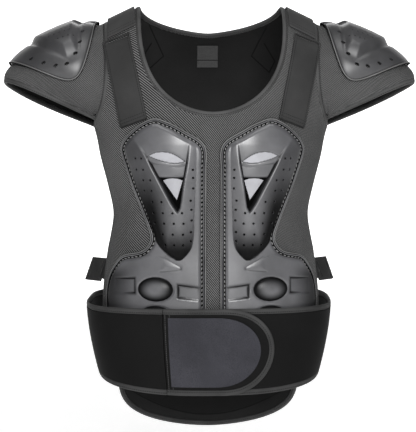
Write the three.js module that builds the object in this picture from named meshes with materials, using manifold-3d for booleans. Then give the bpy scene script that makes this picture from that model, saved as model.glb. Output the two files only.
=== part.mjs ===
// A motorcycle armour vest with a kidney belt, in millimetres, +Z up, as it hangs when worn.
// The origin lies midway between the two neck points, where the vest rests on the shoulders.
// +X is the wearer's left, and the wearer faces -Y.
import * as THREE from "three";
import { mergeVertices } from "three/addons/utils/BufferGeometryUtils.js";
import Module from "manifold-3d";

const wasm = await Module();
wasm.setup();

// Driving sizes of the body
const vestHeight = 647; // neck point down to the lowest point of the tail
const chestWidth = 342; // armpit to armpit
const chestDepth = 116; // shoulder ridge forward to the breastbone
const backDepth = 112; // shoulder ridge back to the shoulder blades
const sideSquareness = 2.4; // exponent of the torso's cross section
const neckWidth = 208;
const neckDropFront = 157;
const neckDropBack = 36;
const shoulderWidth = 316; // armhole seam to armhole seam over the top
const shoulderDrop = 26; // neck point down to the shoulder point
const shoulderRound = 110; // height over which the shoulder rolls into the chest
const armpitDrop = 178;
const frontLength = 505; // neck point down to the front panel's hem, under the belt
const backWaist = 256; // width of the back panel at the waist
const waistDrop = 330;
const tailWidth = 276;
const tailStart = 560; // where the tail begins to round off
const clothWall = 3; // spacer mesh with its lining
const seatGap = 0.4; // clearance between pieces that touch on the real vest
const tapeWidth = 6.5; // bound edges
const tapeWall = 4.6;

// Sleeve caps
const sleeveReach = 133; // armpit out to the sleeve's tip
const sleeveLift = 72; // the cuff's ends up to its middle
const cuffDepth = 29; // half depth of the cuff at the armpit
const cuffBulge = 80; // how much further the cuff rounds out over the arm
const cuffDrop = 18; // how much lower the cuff hangs behind
const cuffLift = 8; // armpit up to the cuff's ends
const sleeveRows = 4; // from the armhole to the cuff

// Chest plates, cups and the cord round them
const plateTopDrop = 169;
const plateLength = 301;
const plateWall = 2.5;
const centreStrip = 26; // mesh left bare between the plates
const podHeight = 12; // crest of the raised, drilled pod
const podFlatness = 2.5; // exponent of the pod's cross section
const recessDepth = 6; // the V-shaped hollow in the pod
const hollowSlope = 6; // width over which the hollow's walls fall
const drillWidth = 3.2;
const bumpWidth = 46;
const bumpTall = 32;
const bumpHeight = 5;
const hiddenBumpHeight = 2.6; // the second bump, under the belt
const pocketDepth = 1.3;
const insertWall = 1.2;
const cupHeight = 12;
const cupWall = 2.5;
const cupFlatness = 2.6; // exponent of the cup's dome
const cupLean = 0.6; // how much lower the cup's crest is towards the sleeve's tip
const domeEdge = 0.8; // exponent of the steepness of cups and pods at their rims
const ventLength = 8;
const ventWidth = 5;
const cordWidth = 3.2;

// Belt
const beltTopDrop = 440;
const beltHeight = 123;
const beltWidth = 357;
const beltTaper = 0.1; // how much narrower the belt is at its foot
const beltSideRise = 24; // how much the lower edge rises at the sides
const beltBackRise = 14; // how much higher the upper edge is behind
const beltWall = 4;
const beltSquareness = 2.8;
const wingGap = 0.95; // between the wings where they overlap
const flapWall = 3;
const patchWall = 1.2;
const beltTape = 7;
const endSquareness = 2.4; // exponent of the wings' rounded ends

// Shoulder straps, yokes and side straps
const strapOffset = 6; // how far the strap starts outside the middle of its yoke
const strapLength = 119;
const strapWall = 2.2;
const strapLean = 12; // degrees from upright
const strapSlant = 20; // degrees by which its ends slope down to the arm
const loopDrop = 9.2; // the yoke's hem down to the middle of its loop
const yokeFrontDrop = 30; // ridge down to the yoke's hem
const yokeWall = 2.4;
const hookWall = 1;
const loopWall = 2.2;
const loopBar = 3;
const loopSlot = 4.5;
const webWidth = 25;
const webWall = 1.6;
const tabWidth = 56; // the side tab where it starts inside the front panel
const tabRimWidth = 50; // the same tab where it passes the panel's edge
const tabRise = 10; // how far the tab's middle lies above the buckle's
const buckleDrop = 391;
const buckleWidth = 34;
const buckleLength = 34;
const buckleWall = 5;
const buckleReach = 12; // how far the buckle stands off the waist
const buckleFlare = 39; // degrees by which the buckle turns outwards from the front to the back
const buckleLean = 0.35; // how far the buckle leans out for each millimetre down
const labelWidth = 32;
const labelHeight = 22;
const lowLabelHeight = 11;
const labelWall = 0.8;

const { degToRad, radToDeg, lerp, clamp, smoothstep } = THREE.MathUtils;
const chestHalf = chestWidth / 2;
const neckHalf = neckWidth / 2;
const shoulderHalf = shoulderWidth / 2;
const seat = clothWall / 2 + seatGap; // lift at which a soft piece lies on the cloth
const hardSeat = clothWall / 2 + 2 * seatGap; // lift of the stiff pieces, which bridge its curves

// Cross sections of the torso. drop is a share of vestHeight; half, front and back are shares of
// half the chest width, the chest depth and the back depth.
const torsoSections = [
  { drop: 0.0, half: 1.52, front: 0.8, back: 0.78 },
  { drop: 0.093, half: 1.38, front: 0.88, back: 0.88 },
  { drop: 0.185, half: 1.2, front: 0.95, back: 0.96 },
  { drop: 0.275, half: 1.015, front: 1.0, back: 1.0 },
  { drop: 0.343, half: 0.956, front: 1.01, back: 0.99 },
  { drop: 0.411, half: 0.889, front: 0.985, back: 0.94 },
  { drop: 0.47, half: 0.845, front: 0.955, back: 0.9 },
  { drop: 0.516, half: 0.866, front: 0.94, back: 0.9 },
  { drop: 0.558, half: 0.898, front: 0.94, back: 0.93 },
  { drop: 0.655, half: 0.94, front: 0.96, back: 0.98 },
  { drop: 0.773, half: 0.947, front: 0.97, back: 0.98 },
  { drop: 1.0, half: 0.936, front: 0.97, back: 0.98 },
];

// The armhole's seam. drop is a share of armpitDrop; reach is a share of half the shoulder width
// at the shoulder, and of half the chest width at the armpit, with blend between them.
const armholeLine = [
  { drop: 0.146, reach: 1.0, blend: 0 },
  { drop: 0.35, reach: 0.99, blend: 0 },
  { drop: 0.6, reach: 0.99, blend: 0 },
  { drop: 0.8, reach: 0.97, blend: 0.5 },
  { drop: 1.0, reach: 0.985, blend: 1 },
];

// Outline of a chest plate. drop is a share of plateLength from its top, outer a share of half
// the chest width, and inner a share of the way from the centre strip to outer.
const plateOutline = [
  { drop: 0.0, outer: 0.51, inner: 0.87 },
  { drop: 0.025, outer: 0.595, inner: 0.53 },
  { drop: 0.06, outer: 0.67, inner: 0.28 },
  { drop: 0.1, outer: 0.73, inner: 0.07 },
  { drop: 0.14, outer: 0.748, inner: 0.0 },
  { drop: 0.215, outer: 0.71, inner: 0.0 },
  { drop: 0.32, outer: 0.648, inner: 0.0 },
  { drop: 0.405, outer: 0.59, inner: 0.0 },
  { drop: 0.485, outer: 0.538, inner: 0.0 },
  { drop: 0.56, outer: 0.5, inner: 0.0 },
  { drop: 0.605, outer: 0.525, inner: 0.0 },
  { drop: 0.64, outer: 0.6, inner: 0.0 },
  { drop: 0.655, outer: 0.72, inner: 0.0 },
  { drop: 0.69, outer: 0.785, inner: 0.0 },
  { drop: 0.77, outer: 0.852, inner: 0.0 },
  { drop: 0.87, outer: 0.872, inner: 0.0 },
  { drop: 1.0, outer: 0.855, inner: 0.0 },
];

// The raised pod of a plate, in the same shares, with its height as a share of podHeight
const podShape = [
  { drop: 0.05, outer: 0.62, inner: 0.2, height: 0.1 },
  { drop: 0.12, outer: 0.71, inner: 0.14, height: 0.45 },
  { drop: 0.215, outer: 0.675, inner: 0.15, height: 0.75 },
  { drop: 0.31, outer: 0.625, inner: 0.155, height: 0.9 },
  { drop: 0.45, outer: 0.545, inner: 0.165, height: 1.0 },
  { drop: 0.55, outer: 0.48, inner: 0.17, height: 0.95 },
  { drop: 0.61, outer: 0.42, inner: 0.19, height: 0.75 },
  { drop: 0.65, outer: 0.34, inner: 0.24, height: 0.35 },
  { drop: 0.665, outer: 0.3, inner: 0.27, height: 0.0 },
];

// The V-shaped hollow of the pod: its two upper corners and its tip
const hollowCorners = { drop: 0.1, outer: 0.66, inner: 0.2 };
const hollowTip = { drop: 0.43, reach: 0.3 };

// Rows of drilled holes. from and to are shares of half the chest width.
const drillRows = [
  { drop: 0.187, from: 0.648, to: 0.597, count: 2 },
  { drop: 0.238, from: 0.638, to: 0.58, count: 2 },
  { drop: 0.288, from: 0.585, to: 0.525, count: 2 },
  { drop: 0.341, from: 0.572, to: 0.515, count: 2 },
  { drop: 0.391, from: 0.51, to: 0.43, count: 2 },
  { drop: 0.447, from: 0.5, to: 0.26, count: 4 },
  { drop: 0.5, from: 0.487, to: 0.244, count: 4 },
  { drop: 0.553, from: 0.417, to: 0.252, count: 3 },
  { drop: 0.602, from: 0.396, to: 0.248, count: 3 },
  { drop: 0.242, from: 0.168, to: 0.168, count: 1 },
  { drop: 0.28, from: 0.168, to: 0.168, count: 1 },
  { drop: 0.333, from: 0.168, to: 0.168, count: 1 },
  { drop: 0.39, from: 0.185, to: 0.185, count: 1 },
];

// Windows with a pale insert: corners as shares, drop of plateLength and reach of half the chest
const upperWindow = [
  { drop: 0.166, reach: 0.53 },
  { drop: 0.153, reach: 0.44 },
  { drop: 0.165, reach: 0.34 },
  { drop: 0.203, reach: 0.255 },
  { drop: 0.2, reach: 0.4 },
];
const lowerWindow = [
  { drop: 0.29, reach: 0.445 },
  { drop: 0.277, reach: 0.36 },
  { drop: 0.291, reach: 0.275 },
  { drop: 0.376, reach: 0.32 },
];

// Shallow pockets beside the bump, in the same shares
const sidePocket = [
  { drop: 0.762, reach: 0.81 },
  { drop: 0.758, reach: 0.645 },
  { drop: 0.83, reach: 0.64 },
  { drop: 0.842, reach: 0.79 },
];
const innerPocket = [
  { drop: 0.785, reach: 0.3 },
  { drop: 0.802, reach: 0.115 },
  { drop: 0.868, reach: 0.115 },
  { drop: 0.848, reach: 0.3 },
];
const bumpPlace = { drop: 0.81, reach: 0.478 };
const hiddenBumpPlace = { drop: 0.945, reach: 0.478 };

// Vents of a cup: turn about the cup in degrees, from the sleeve's tip towards the front
const cupVents = [{ turn: 20 }, { turn: 58 }, { turn: 98 }, { turn: 140 }];
const ventPlace = 0.76; // how far out the vents lie, as a share of the cup's radius

// A column of a table at a place between its rows, along a smooth curve through them
function along(table, place, column) {
  const last = table.length - 1;
  const at = clamp(place, table[0].drop, table[last].drop);
  let i = 0;
  while (i < last - 1 && at > table[i + 1].drop) i++;
  const slope = (k) => {
    const before = table[Math.max(k - 1, 0)];
    const after = table[Math.min(k + 1, last)];
    return (after[column] - before[column]) / (after.drop - before.drop);
  };
  const step = table[i + 1].drop - table[i].drop;
  const t = (at - table[i].drop) / step;
  const bend = t * (1 - t) * step * ((1 - t) * slope(i) - t * slope(i + 1));
  return lerp(table[i][column], table[i + 1][column], t * t * (3 - 2 * t)) + bend;
}

// The torso's surface. Its shoulder ridge is an arc over the neck and slopes beyond it.
const ridgeSlope = shoulderDrop / (shoulderHalf - neckHalf);

function ridgeAt(x) {
  const reach = Math.abs(x);
  if (reach > neckHalf) return -ridgeSlope * (reach - neckHalf);
  return ((ridgeSlope * neckHalf) / 2) * (1 - (reach / neckHalf) ** 2);
}

const halfWidthAt = (z) => chestHalf * along(torsoSections, -z / vestHeight, "half");

function sectionDepth(x, z, face) {
  const depth =
    face < 0
      ? chestDepth * along(torsoSections, -z / vestHeight, "front")
      : backDepth * along(torsoSections, -z / vestHeight, "back");
  const share = Math.min(Math.abs(x) / halfWidthAt(z), 0.9995);
  return depth * (1 - share ** sideSquareness) ** (1 / sideSquareness);
}

// turn is the roll over the shoulder in degrees, from its ridge: negative to the front, positive
// to the back, and past 90 straight down the body.
function torsoAt(x, turn) {
  const roll = Math.min(Math.abs(turn), 90);
  const below = degToRad(Math.max(Math.abs(turn) - 90, 0));
  const z = ridgeAt(x) - shoulderRound * (1 - Math.cos(degToRad(roll)) + below);
  const y = Math.sign(turn) * sectionDepth(x, z, turn) * Math.sin(degToRad(roll));
  return new THREE.Vector3(x, y, z);
}

function turnAt(x, z, face) {
  const share = (ridgeAt(x) - z) / shoulderRound;
  if (share > 1) return face * (90 + radToDeg(share - 1));
  return face * radToDeg(Math.acos(clamp(1 - share, -1, 1)));
}

// A place on a surface of two numbers: its point and its normal
function placeOn(surface, a, b, step = 0.5) {
  const alongA = surface(a + step, b).sub(surface(a - step, b));
  const alongB = surface(a, b + step).sub(surface(a, b - step));
  return { point: surface(a, b), normal: alongA.cross(alongB).normalize() };
}

const raise = (place, lift) => place.point.clone().addScaledVector(place.normal, lift);
const overShoulder = (x, turn) => placeOn(torsoAt, x, turn);
const onTorso = (face, x, z) => overShoulder(x, turnAt(x, z, face));

// Sheets are grids of places joined by quads; a place may carry a relief above the sheet
function gridSheet(columns, rows, placeAt) {
  const places = [];
  const quads = [];
  for (let r = 0; r <= rows; r++) {
    for (let c = 0; c <= columns; c++) places.push(placeAt(c / columns, r / rows));
  }
  const at = (c, r) => r * (columns + 1) + c;
  for (let r = 0; r < rows; r++) {
    for (let c = 0; c < columns; c++) {
      quads.push([at(c, r), at(c + 1, r), at(c + 1, r + 1), at(c, r + 1)]);
    }
  }
  return { places, quads };
}

// A round sheet with one place at its centre
function discSheet(rings, sectors, placeAt) {
  const places = [placeAt(0, 0)];
  const quads = [];
  for (let r = 1; r <= rings; r++) {
    for (let k = 0; k < sectors; k++) places.push(placeAt(r / rings, (k / sectors) * 360));
  }
  const at = (r, k) => (r === 0 ? 0 : 1 + (r - 1) * sectors + (k % sectors));
  for (let r = 0; r < rings; r++) {
    for (let k = 0; k < sectors; k++) {
      const ring = [at(r, k), at(r + 1, k), at(r + 1, k + 1), at(r, k + 1)];
      quads.push(r === 0 ? ring.slice(0, 3) : ring);
    }
  }
  return { places, quads };
}

function mirrorSheet({ places, quads }) {
  const flip = (v) => new THREE.Vector3(-v.x, v.y, v.z);
  return {
    places: places.map((p) => ({ ...p, point: flip(p.point), normal: flip(p.normal) })),
    quads: quads.map((quad) => [...quad].reverse()),
  };
}

// Two sheets with the places that they share made one
function joinSheets(...sheets) {
  const found = new Map();
  const places = [];
  const quads = [];
  for (const sheet of sheets) {
    const indices = sheet.places.map((place) => {
      const key = place.point.toArray().map((v) => Math.round(v * 1000)).join();
      if (!found.has(key)) {
        found.set(key, places.length);
        places.push(place);
      }
      return found.get(key);
    });
    for (const quad of sheet.quads) quads.push(quad.map((i) => indices[i]));
  }
  return { places, quads };
}

// Normals of a sheet whose places have none, from its quads
function withNormals({ places, quads }) {
  const normals = places.map(() => new THREE.Vector3());
  for (const quad of quads) {
    const [a, b, c] = quad.map((i) => places[i].point);
    const d = places[quad[quad.length - 1]].point;
    const normal = c.clone().sub(a).cross(d.clone().sub(b));
    for (const i of quad) normals[i].add(normal);
  }
  return { places: places.map((p, i) => ({ ...p, normal: normals[i].normalize() })), quads };
}

// A closed solid of points and triangles, turned so that its faces point out
function solidFrom(points, triangles) {
  const volume = triangles.reduce(
    (sum, [a, b, c]) => sum + points[a].dot(points[b].clone().cross(points[c])),
    0,
  );
  const geometry = new THREE.BufferGeometry();
  const positions = points.flatMap((p) => [p.x, p.y, p.z]);
  geometry.setAttribute("position", new THREE.Float32BufferAttribute(positions, 3));
  geometry.setIndex(triangles.flatMap(([a, b, c]) => (volume < 0 ? [a, c, b] : [a, b, c])));
  return geometry;
}

// A closed wall between two lifts of a sheet
function wallOf({ places, quads }, low, high) {
  const count = places.length;
  const edges = new Map();
  const triangles = [];
  let facing = 0;
  for (const quad of quads) {
    const [a, b] = quad.map((i) => places[i].point);
    const d = places[quad[quad.length - 1]].point;
    facing += b.clone().sub(a).cross(d.clone().sub(a)).dot(places[quad[0]].normal);
  }
  for (const quad of quads) {
    const corners = facing > 0 ? quad : [...quad].reverse();
    corners.forEach((from, k) => {
      const to = corners[(k + 1) % corners.length];
      edges.set(from + "," + to, [from, to]);
    });
    for (let k = 1; k < corners.length - 1; k++) {
      const face = [corners[0], corners[k], corners[k + 1]];
      triangles.push(face, [...face].reverse().map((i) => i + count));
    }
  }
  for (const [from, to] of edges.values()) {
    if (edges.has(to + "," + from)) continue;
    triangles.push([to, from, from + count], [to, from + count, to + count]);
  }
  const layer = (lift) => places.map((p) => raise(p, lift + (p.relief ?? 0)));
  return solidFrom([...layer(high), ...layer(low)], triangles);
}

// A closed solid between two layers of points over the same sheet
function closedBetween({ places, quads }, top, floor) {
  const flat = wallOf({ places, quads }, 1, 0);
  const index = [...flat.index.array];
  const triangles = [];
  for (let i = 0; i < index.length; i += 3) triangles.push(index.slice(i, i + 3));
  return solidFrom([...top, ...floor], triangles);
}

// A tube through loops of points, closed on itself or capped at both ends
function tubeOf(loops, closed) {
  const size = loops[0].length;
  const triangles = [];
  const spans = closed ? loops.length : loops.length - 1;
  for (let r = 0; r < spans; r++) {
    const here = r * size;
    const next = ((r + 1) % loops.length) * size;
    for (let i = 0; i < size; i++) {
      const j = (i + 1) % size;
      triangles.push([here + i, here + j, next + j], [here + i, next + j, next + i]);
    }
  }
  if (!closed) {
    const end = (loops.length - 1) * size;
    for (let i = 1; i < size - 1; i++) {
      triangles.push([0, i + 1, i], [end, end + i, end + i + 1]);
    }
  }
  return solidFrom(loops.flat(), triangles);
}

// Directions across and up at each place of a path, halfway between the runs that meet there, and
// how much wider than its runs the path is at that corner
function framesOf(path, closed) {
  const last = path.length - 1;
  return path.map(({ point, normal }, i) => {
    const before = path[closed ? (i + last) % path.length : Math.max(i - 1, 0)].point;
    const after = path[closed ? (i + 1) % path.length : Math.min(i + 1, last)].point;
    const run = point.clone().sub(before).normalize();
    const forward = after.clone().sub(point).normalize().add(run).normalize();
    const corner = run.lengthSq() > 0 ? 1 / Math.max(forward.dot(run), 0.7) : 1;
    const across = forward.clone().cross(normal).normalize();
    return { point, normal, corner, across, up: across.clone().cross(forward).normalize() };
  });
}

// A path moved sideways in the surface; a positive distance goes to the right of its run
const besidePath = (path, distance, closed = false) =>
  framesOf(path, closed).map(({ point, normal, across, corner }) => ({
    point: point.clone().addScaledVector(across, distance * corner),
    normal,
  }));

const liftedPath = (path, lift) => path.map((p) => ({ ...p, point: raise(p, lift) }));

// An edge tape or a cord along a path
function tapeAlong(path, width, thickness, sides = 4, closed = false) {
  const loops = framesOf(path, closed).map(({ point, across, up, corner }) =>
    Array.from({ length: sides }, (_, k) => {
      const angle = ((k + 0.5) / sides) * 2 * Math.PI;
      const reach = 0.5 / Math.cos(Math.PI / sides);
      return point
        .clone()
        .addScaledVector(across, Math.cos(angle) * width * reach * corner)
        .addScaledVector(up, Math.sin(angle) * thickness * reach);
    }),
  );
  return tubeOf(loops, closed);
}

function manifoldOf(geometry) {
  const bare = new THREE.BufferGeometry();
  bare.setAttribute("position", geometry.getAttribute("position"));
  bare.setIndex(geometry.index);
  const merged = mergeVertices(bare, 1e-3);
  return new wasm.Manifold(
    new wasm.Mesh({
      numProp: 3,
      vertProperties: new Float32Array(merged.attributes.position.array),
      triVerts: new Uint32Array(merged.index.array),
    }),
  );
}

function geometryOf(solid) {
  const mesh = solid.getMesh();
  const points = [];
  for (let i = 0; i < mesh.numVert; i++) {
    points.push(new THREE.Vector3().fromArray(mesh.vertProperties, i * mesh.numProp));
  }
  const triangles = [];
  for (let i = 0; i < mesh.numTri; i++) triangles.push([...mesh.triVerts.subarray(3 * i, 3 * i + 3)]);
  return solidFrom(points, triangles);
}

const cutBy = (geometry, cutters) =>
  geometryOf(cutters.reduce((solid, cutter) => solid.subtract(manifoldOf(cutter)), manifoldOf(geometry)));

function mirrorGeometry(geometry) {
  const points = [];
  const position = geometry.getAttribute("position");
  for (let i = 0; i < position.count; i++) {
    points.push(new THREE.Vector3(-position.getX(i), position.getY(i), position.getZ(i)));
  }
  const index = [...geometry.index.array];
  const triangles = [];
  for (let i = 0; i < index.length; i += 3) triangles.push([index[i], index[i + 2], index[i + 1]]);
  return solidFrom(points, triangles);
}

// A prism through a wall: an outline of places between two lifts
function prismThrough(outline, low, high) {
  return tubeOf([outline.map((p) => raise(p, low)), outline.map((p) => raise(p, high))], false);
}

const finishes = {
  spacer_mesh: { color: 0x4b4b4d, roughness: 0.9, metalness: 0 },
  edge_tape: { color: 0x3a3a3b, roughness: 0.8, metalness: 0 },
  armour_plastic: { color: 0x2c2c2e, roughness: 0.3, metalness: 0 },
  pale_insert: { color: 0xbdbbc2, roughness: 0.35, metalness: 0 },
  webbing: { color: 0x3f3f41, roughness: 0.85, metalness: 0 },
  buckle_plastic: { color: 0x1d1d1f, roughness: 0.45, metalness: 0 },
  neoprene: { color: 0x1b1b1b, roughness: 0.92, metalness: 0 },
  flap_patch: { color: 0x36363c, roughness: 0.7, metalness: 0 },
  label: { color: 0x101010, roughness: 0.8, metalness: 0 },
};
const vest = new THREE.Group();

function addPiece(name, geometry, finish) {
  geometry.computeVertexNormals();
  const mesh = new THREE.Mesh(geometry, new THREE.MeshStandardMaterial(finishes[finish]));
  mesh.name = name;
  vest.add(mesh);
}

// A piece on the wearer's left, and its mirror image on the right
function addPair(name, geometry, finish) {
  addPiece(name + "_left", geometry, finish);
  addPiece(name + "_right", mirrorGeometry(geometry), finish);
}

// Front and back panels

const neckDrops = { front: neckDropFront, back: neckDropBack };
const neckCurves = { front: { deep: 3, round: 1.9 }, back: { deep: 2, round: 1.4 } };
const tapeSeat = tapeWidth + seatGap;

// The neckline's place at an angle from its lowest point to the neck point
function necklineAt(side, angle) {
  const { deep, round } = neckCurves[side];
  const across = Math.sin(degToRad(angle));
  return {
    x: (neckHalf + tapeSeat) * across,
    z: -(neckDrops[side] + tapeSeat) * (1 - across ** round) ** (1 / deep),
  };
}

function armholeAt(z) {
  const drop = -z / armpitDrop;
  const reach = along(armholeLine, drop, "reach");
  return reach * lerp(shoulderHalf, halfWidthAt(-armpitDrop), along(armholeLine, drop, "blend"));
}

const frontEdgeShare = 0.985; // how far round the side the front panel reaches
const edgePasses = 10; // enough to settle an edge that follows its own height
const columnSpread = 1.02; // the columns are spaced as on a circle this much wider than the torso

// Half width of a panel's outline; inset shortens the tail
function outlineAt(z, face, inset = 0) {
  if (-z <= armpitDrop) return armholeAt(z);
  const side = halfWidthAt(z) * frontEdgeShare;
  if (face < 0) return side;
  const waist = smoothstep(-z, armpitDrop, waistDrop);
  const low = smoothstep(-z, beltTopDrop - webWidth, beltTopDrop + webWidth);
  const half = lerp(side, lerp(backWaist, tailWidth, low) / 2, waist);
  const fall = clamp((-z - tailStart) / (vestHeight - inset - tailStart), 0, 1);
  return half * Math.sqrt(1 - fall ** 3);
}

// A half width drawn in by a distance measured over the surface
function drawnIn(half, z, face, distance) {
  const steps = 12;
  const reach = 0.5;
  let x = half;
  for (let i = 0; i < steps; i++) {
    const rise = sectionDepth(x - reach, z, face) - sectionDepth(x, z, face);
    x -= distance / steps / Math.hypot(1, rise / reach);
  }
  return x;
}

// Rows of each half panel: how many lie below the armpit's level, how many between it and the
// neckline, the neckline's angles of the next ones, and the shoulder's roll at the last ones
const panelRuns = {
  front: { low: 9, high: 1, angles: [0, 10, 20, 30, 40, 50, 60, 70], rolls: [54, 36, 18] },
  back: { low: 8, high: 5, angles: [0, 25, 45, 60, 72], rolls: [14] },
};
const tailAngles = [85, 72, 60, 45, 25]; // places round the tail, from its lowest point
const highSpacing = 1.6; // exponent that draws the rows over the armpit together

// Rows of a half panel, from the hem up. A flat row has one height; the others rise from the
// armpit's level to the shoulder ridge by a share.
function panelRows(side) {
  const { low, high, angles, rolls } = panelRuns[side];
  const rows = [];
  if (side === "back") {
    const tail = vestHeight - tapeSeat - tailStart;
    for (const angle of tailAngles) {
      rows.push({ z: -tailStart - tail * Math.sin(degToRad(angle)) ** (2 / 3) });
    }
  }
  const hem = side === "front" ? frontLength : tailStart;
  for (let k = 0; k < low; k++) rows.push({ z: -lerp(hem, armpitDrop, k / low) });
  const bottom = necklineAt(side, 0).z;
  const reachOf = (x, z) => (z + armpitDrop) / (ridgeAt(x) + armpitDrop);
  for (let k = 0; k < high; k++) {
    const z = lerp(-armpitDrop, bottom, (k / high) ** highSpacing);
    rows.push({ share: reachOf(0, z), neck: 0 });
  }
  for (const angle of angles) {
    const { x, z } = necklineAt(side, angle);
    rows.push({ share: reachOf(x, z), neck: x });
  }
  for (const roll of rolls) {
    const z = -shoulderRound * (1 - Math.cos(degToRad(roll)));
    const { deep, round } = neckCurves[side];
    const drop = -z / (neckDrops[side] + tapeSeat);
    const x = (neckHalf + tapeSeat) * (1 - drop ** deep) ** (1 / round);
    rows.push({ share: reachOf(x, z), neck: x });
  }
  rows.push({ share: 1, neck: neckHalf + tapeSeat });
  return rows;
}

function halfPanel(side, columns) {
  const face = side === "front" ? -1 : 1;
  const rows = panelRows(side);
  const heightAt = (row, x) => {
    if (row.z !== undefined) return row.z;
    const top = ridgeAt(x) - seatGap ** 2 / shoulderRound;
    return lerp(-armpitDrop, top, row.share);
  };
  return gridSheet(columns, rows.length - 1, (across, up) => {
    const row = rows[Math.round(up * (rows.length - 1))];
    let outer = shoulderHalf;
    for (let pass = 0; pass < edgePasses; pass++) {
      const z = heightAt(row, outer);
      outer = drawnIn(outlineAt(z, face, tapeSeat), z, face, tapeSeat);
    }
    const wide = halfWidthAt(heightAt(row, outer)) * columnSpread;
    const inner = row.neck ?? 0;
    const x = wide * Math.sin(lerp(Math.asin(inner / wide), Math.asin(outer / wide), across));
    return onTorso(face, x, heightAt(row, x));
  });
}

function wholePanel(side, columns) {
  const half = halfPanel(side, columns);
  return { sheet: joinSheets(half, mirrorSheet(half)), half, columns };
}

const column = ({ half, columns }, c) => half.places.filter((_, i) => i % (columns + 1) === c);
const front = wholePanel("front", 5);
const back = wholePanel("back", 4);
addPiece("front_panel", wallOf(front.sheet, -clothWall / 2, clothWall / 2), "spacer_mesh");
addPiece("back_panel", wallOf(back.sheet, -clothWall / 2, clothWall / 2), "spacer_mesh");

// Bound edges: one tape round the neck, and one down each side from the front hem over the
// shoulder to the tail
const flipPlace = ({ point, normal }) => ({
  point: new THREE.Vector3(-point.x, point.y, point.z),
  normal: new THREE.Vector3(-normal.x, normal.y, normal.z),
});

function throughRidge(frontPath, backPath) {
  const ridge = overShoulder(frontPath[frontPath.length - 1].point.x, 0);
  return [...frontPath.slice(0, -1), ridge, ...backPath.slice(0, -1).reverse()];
}

const besideEdge = seatGap + tapeWidth / 2;
const neckPath = (panel) => {
  const inner = column(panel, 0);
  return inner.slice(inner.findLastIndex(({ point }) => point.x === 0));
};
const halfNeck = throughRidge(neckPath(front), neckPath(back));
const neckLoop = [...halfNeck, ...halfNeck.slice(1, -1).reverse().map(flipPlace)];
addPiece(
  "neck_binding",
  tapeAlong(besidePath(neckLoop, -besideEdge, true), tapeWidth, tapeWall, 4, true),
  "edge_tape",
);
const backEdge = column(back, back.columns);
const tailMiddle = onTorso(1, seatGap / 2, backEdge[0].point.z);
const sideEdge = throughRidge(column(front, front.columns), [tailMiddle, ...backEdge]);
addPair("edge_binding", tapeAlong(besidePath(sideEdge, besideEdge), tapeWidth, tapeWall), "edge_tape");

// Sleeve caps, lofted from the armhole to the cuff. turn runs from 0 at the front of the armpit
// over the shoulder at 90 to 180 at its back.
const armholeEdge = besidePath(sideEdge, besideEdge + tapeWidth / 2 + 2 * seatGap).filter(
  ({ point }) => point.z > -armpitDrop + 3 * tapeWidth,
);
const armholeRun = [0];
armholeEdge.slice(1).forEach(({ point }, i) => {
  armholeRun.push(armholeRun[i] + point.distanceTo(armholeEdge[i].point));
});
const sleeveTurns = armholeRun.map((run) => (180 * run) / armholeRun[armholeRun.length - 1]);

function armholePlace(turn) {
  let i = 0;
  while (i < sleeveTurns.length - 2 && turn > sleeveTurns[i + 1]) i++;
  const share = (turn - sleeveTurns[i]) / (sleeveTurns[i + 1] - sleeveTurns[i]);
  return armholeEdge[i].point.clone().lerp(armholeEdge[i + 1].point, share);
}

function cuffPlace(turn) {
  const across = Math.sin(degToRad(turn));
  const behind = Math.sin(degToRad(turn / 2)) ** 2;
  return new THREE.Vector3(
    lerp(chestHalf + tapeWidth, chestHalf + sleeveReach, across),
    -Math.cos(degToRad(turn)) * (cuffDepth + cuffBulge * across),
    -armpitDrop + cuffLift + sleeveLift * across - cuffDrop * behind * (0.5 + across / 2),
  );
}

// How a sleeve leaves the armhole and arrives at the cuff: out, along the arm's front and back, and
// up or down, with the length of each pull as a share of the sleeve's
const leaving = { out: 0.93, apart: 0.15, fall: 0.4, pull: 0.35 };
const arriving = { under: -0.1, over: 0.3, apart: 0.5, rise: 0.95, pull: 0.2 };

// share runs from 0 at the armhole to 1 at the cuff
function sleeveAt(share, turn) {
  const from = armholePlace(turn);
  const to = cuffPlace(turn);
  const length = to.distanceTo(from);
  const across = Math.sin(degToRad(turn));
  const ahead = Math.cos(degToRad(turn));
  const leave = new THREE.Vector3(leaving.out, -leaving.apart * ahead, -leaving.fall * across ** 2);
  const arrive = new THREE.Vector3(
    lerp(arriving.under, arriving.over, across),
    -arriving.apart * ahead,
    arriving.rise,
  );
  const pull = from.clone().addScaledVector(leave.normalize(), leaving.pull * length);
  const push = to.clone().addScaledVector(arrive.normalize(), arriving.pull * length);
  return new THREE.CubicBezierCurve3(from, pull, push, to).getPoint(share);
}

const onSleeve = (share, turn) => {
  const step = 0.002;
  const alongShare = sleeveAt(share + step, turn).sub(sleeveAt(share - step, turn));
  const alongTurn = sleeveAt(share, turn + 0.2).sub(sleeveAt(share, turn - 0.2));
  return { point: sleeveAt(share, turn), normal: alongShare.cross(alongTurn).normalize() };
};

const sleeveColumns = sleeveTurns.length - 1;
const sleeveSheet = gridSheet(sleeveColumns, sleeveRows, (around, out) => {
  const turn = sleeveTurns[Math.round(around * sleeveColumns)];
  const length = cuffPlace(turn).distanceTo(armholePlace(turn));
  return onSleeve(lerp(3 * seatGap, length - tapeSeat, out) / length, turn);
});
addPair("sleeve", wallOf(sleeveSheet, -clothWall / 2, clothWall / 2), "spacer_mesh");
const cuffEdge = sleeveSheet.places.slice(-sleeveColumns - 1);
addPair("cuff_binding", tapeAlong(besidePath(cuffEdge, besideEdge), tapeWidth, tapeWall), "edge_tape");

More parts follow.
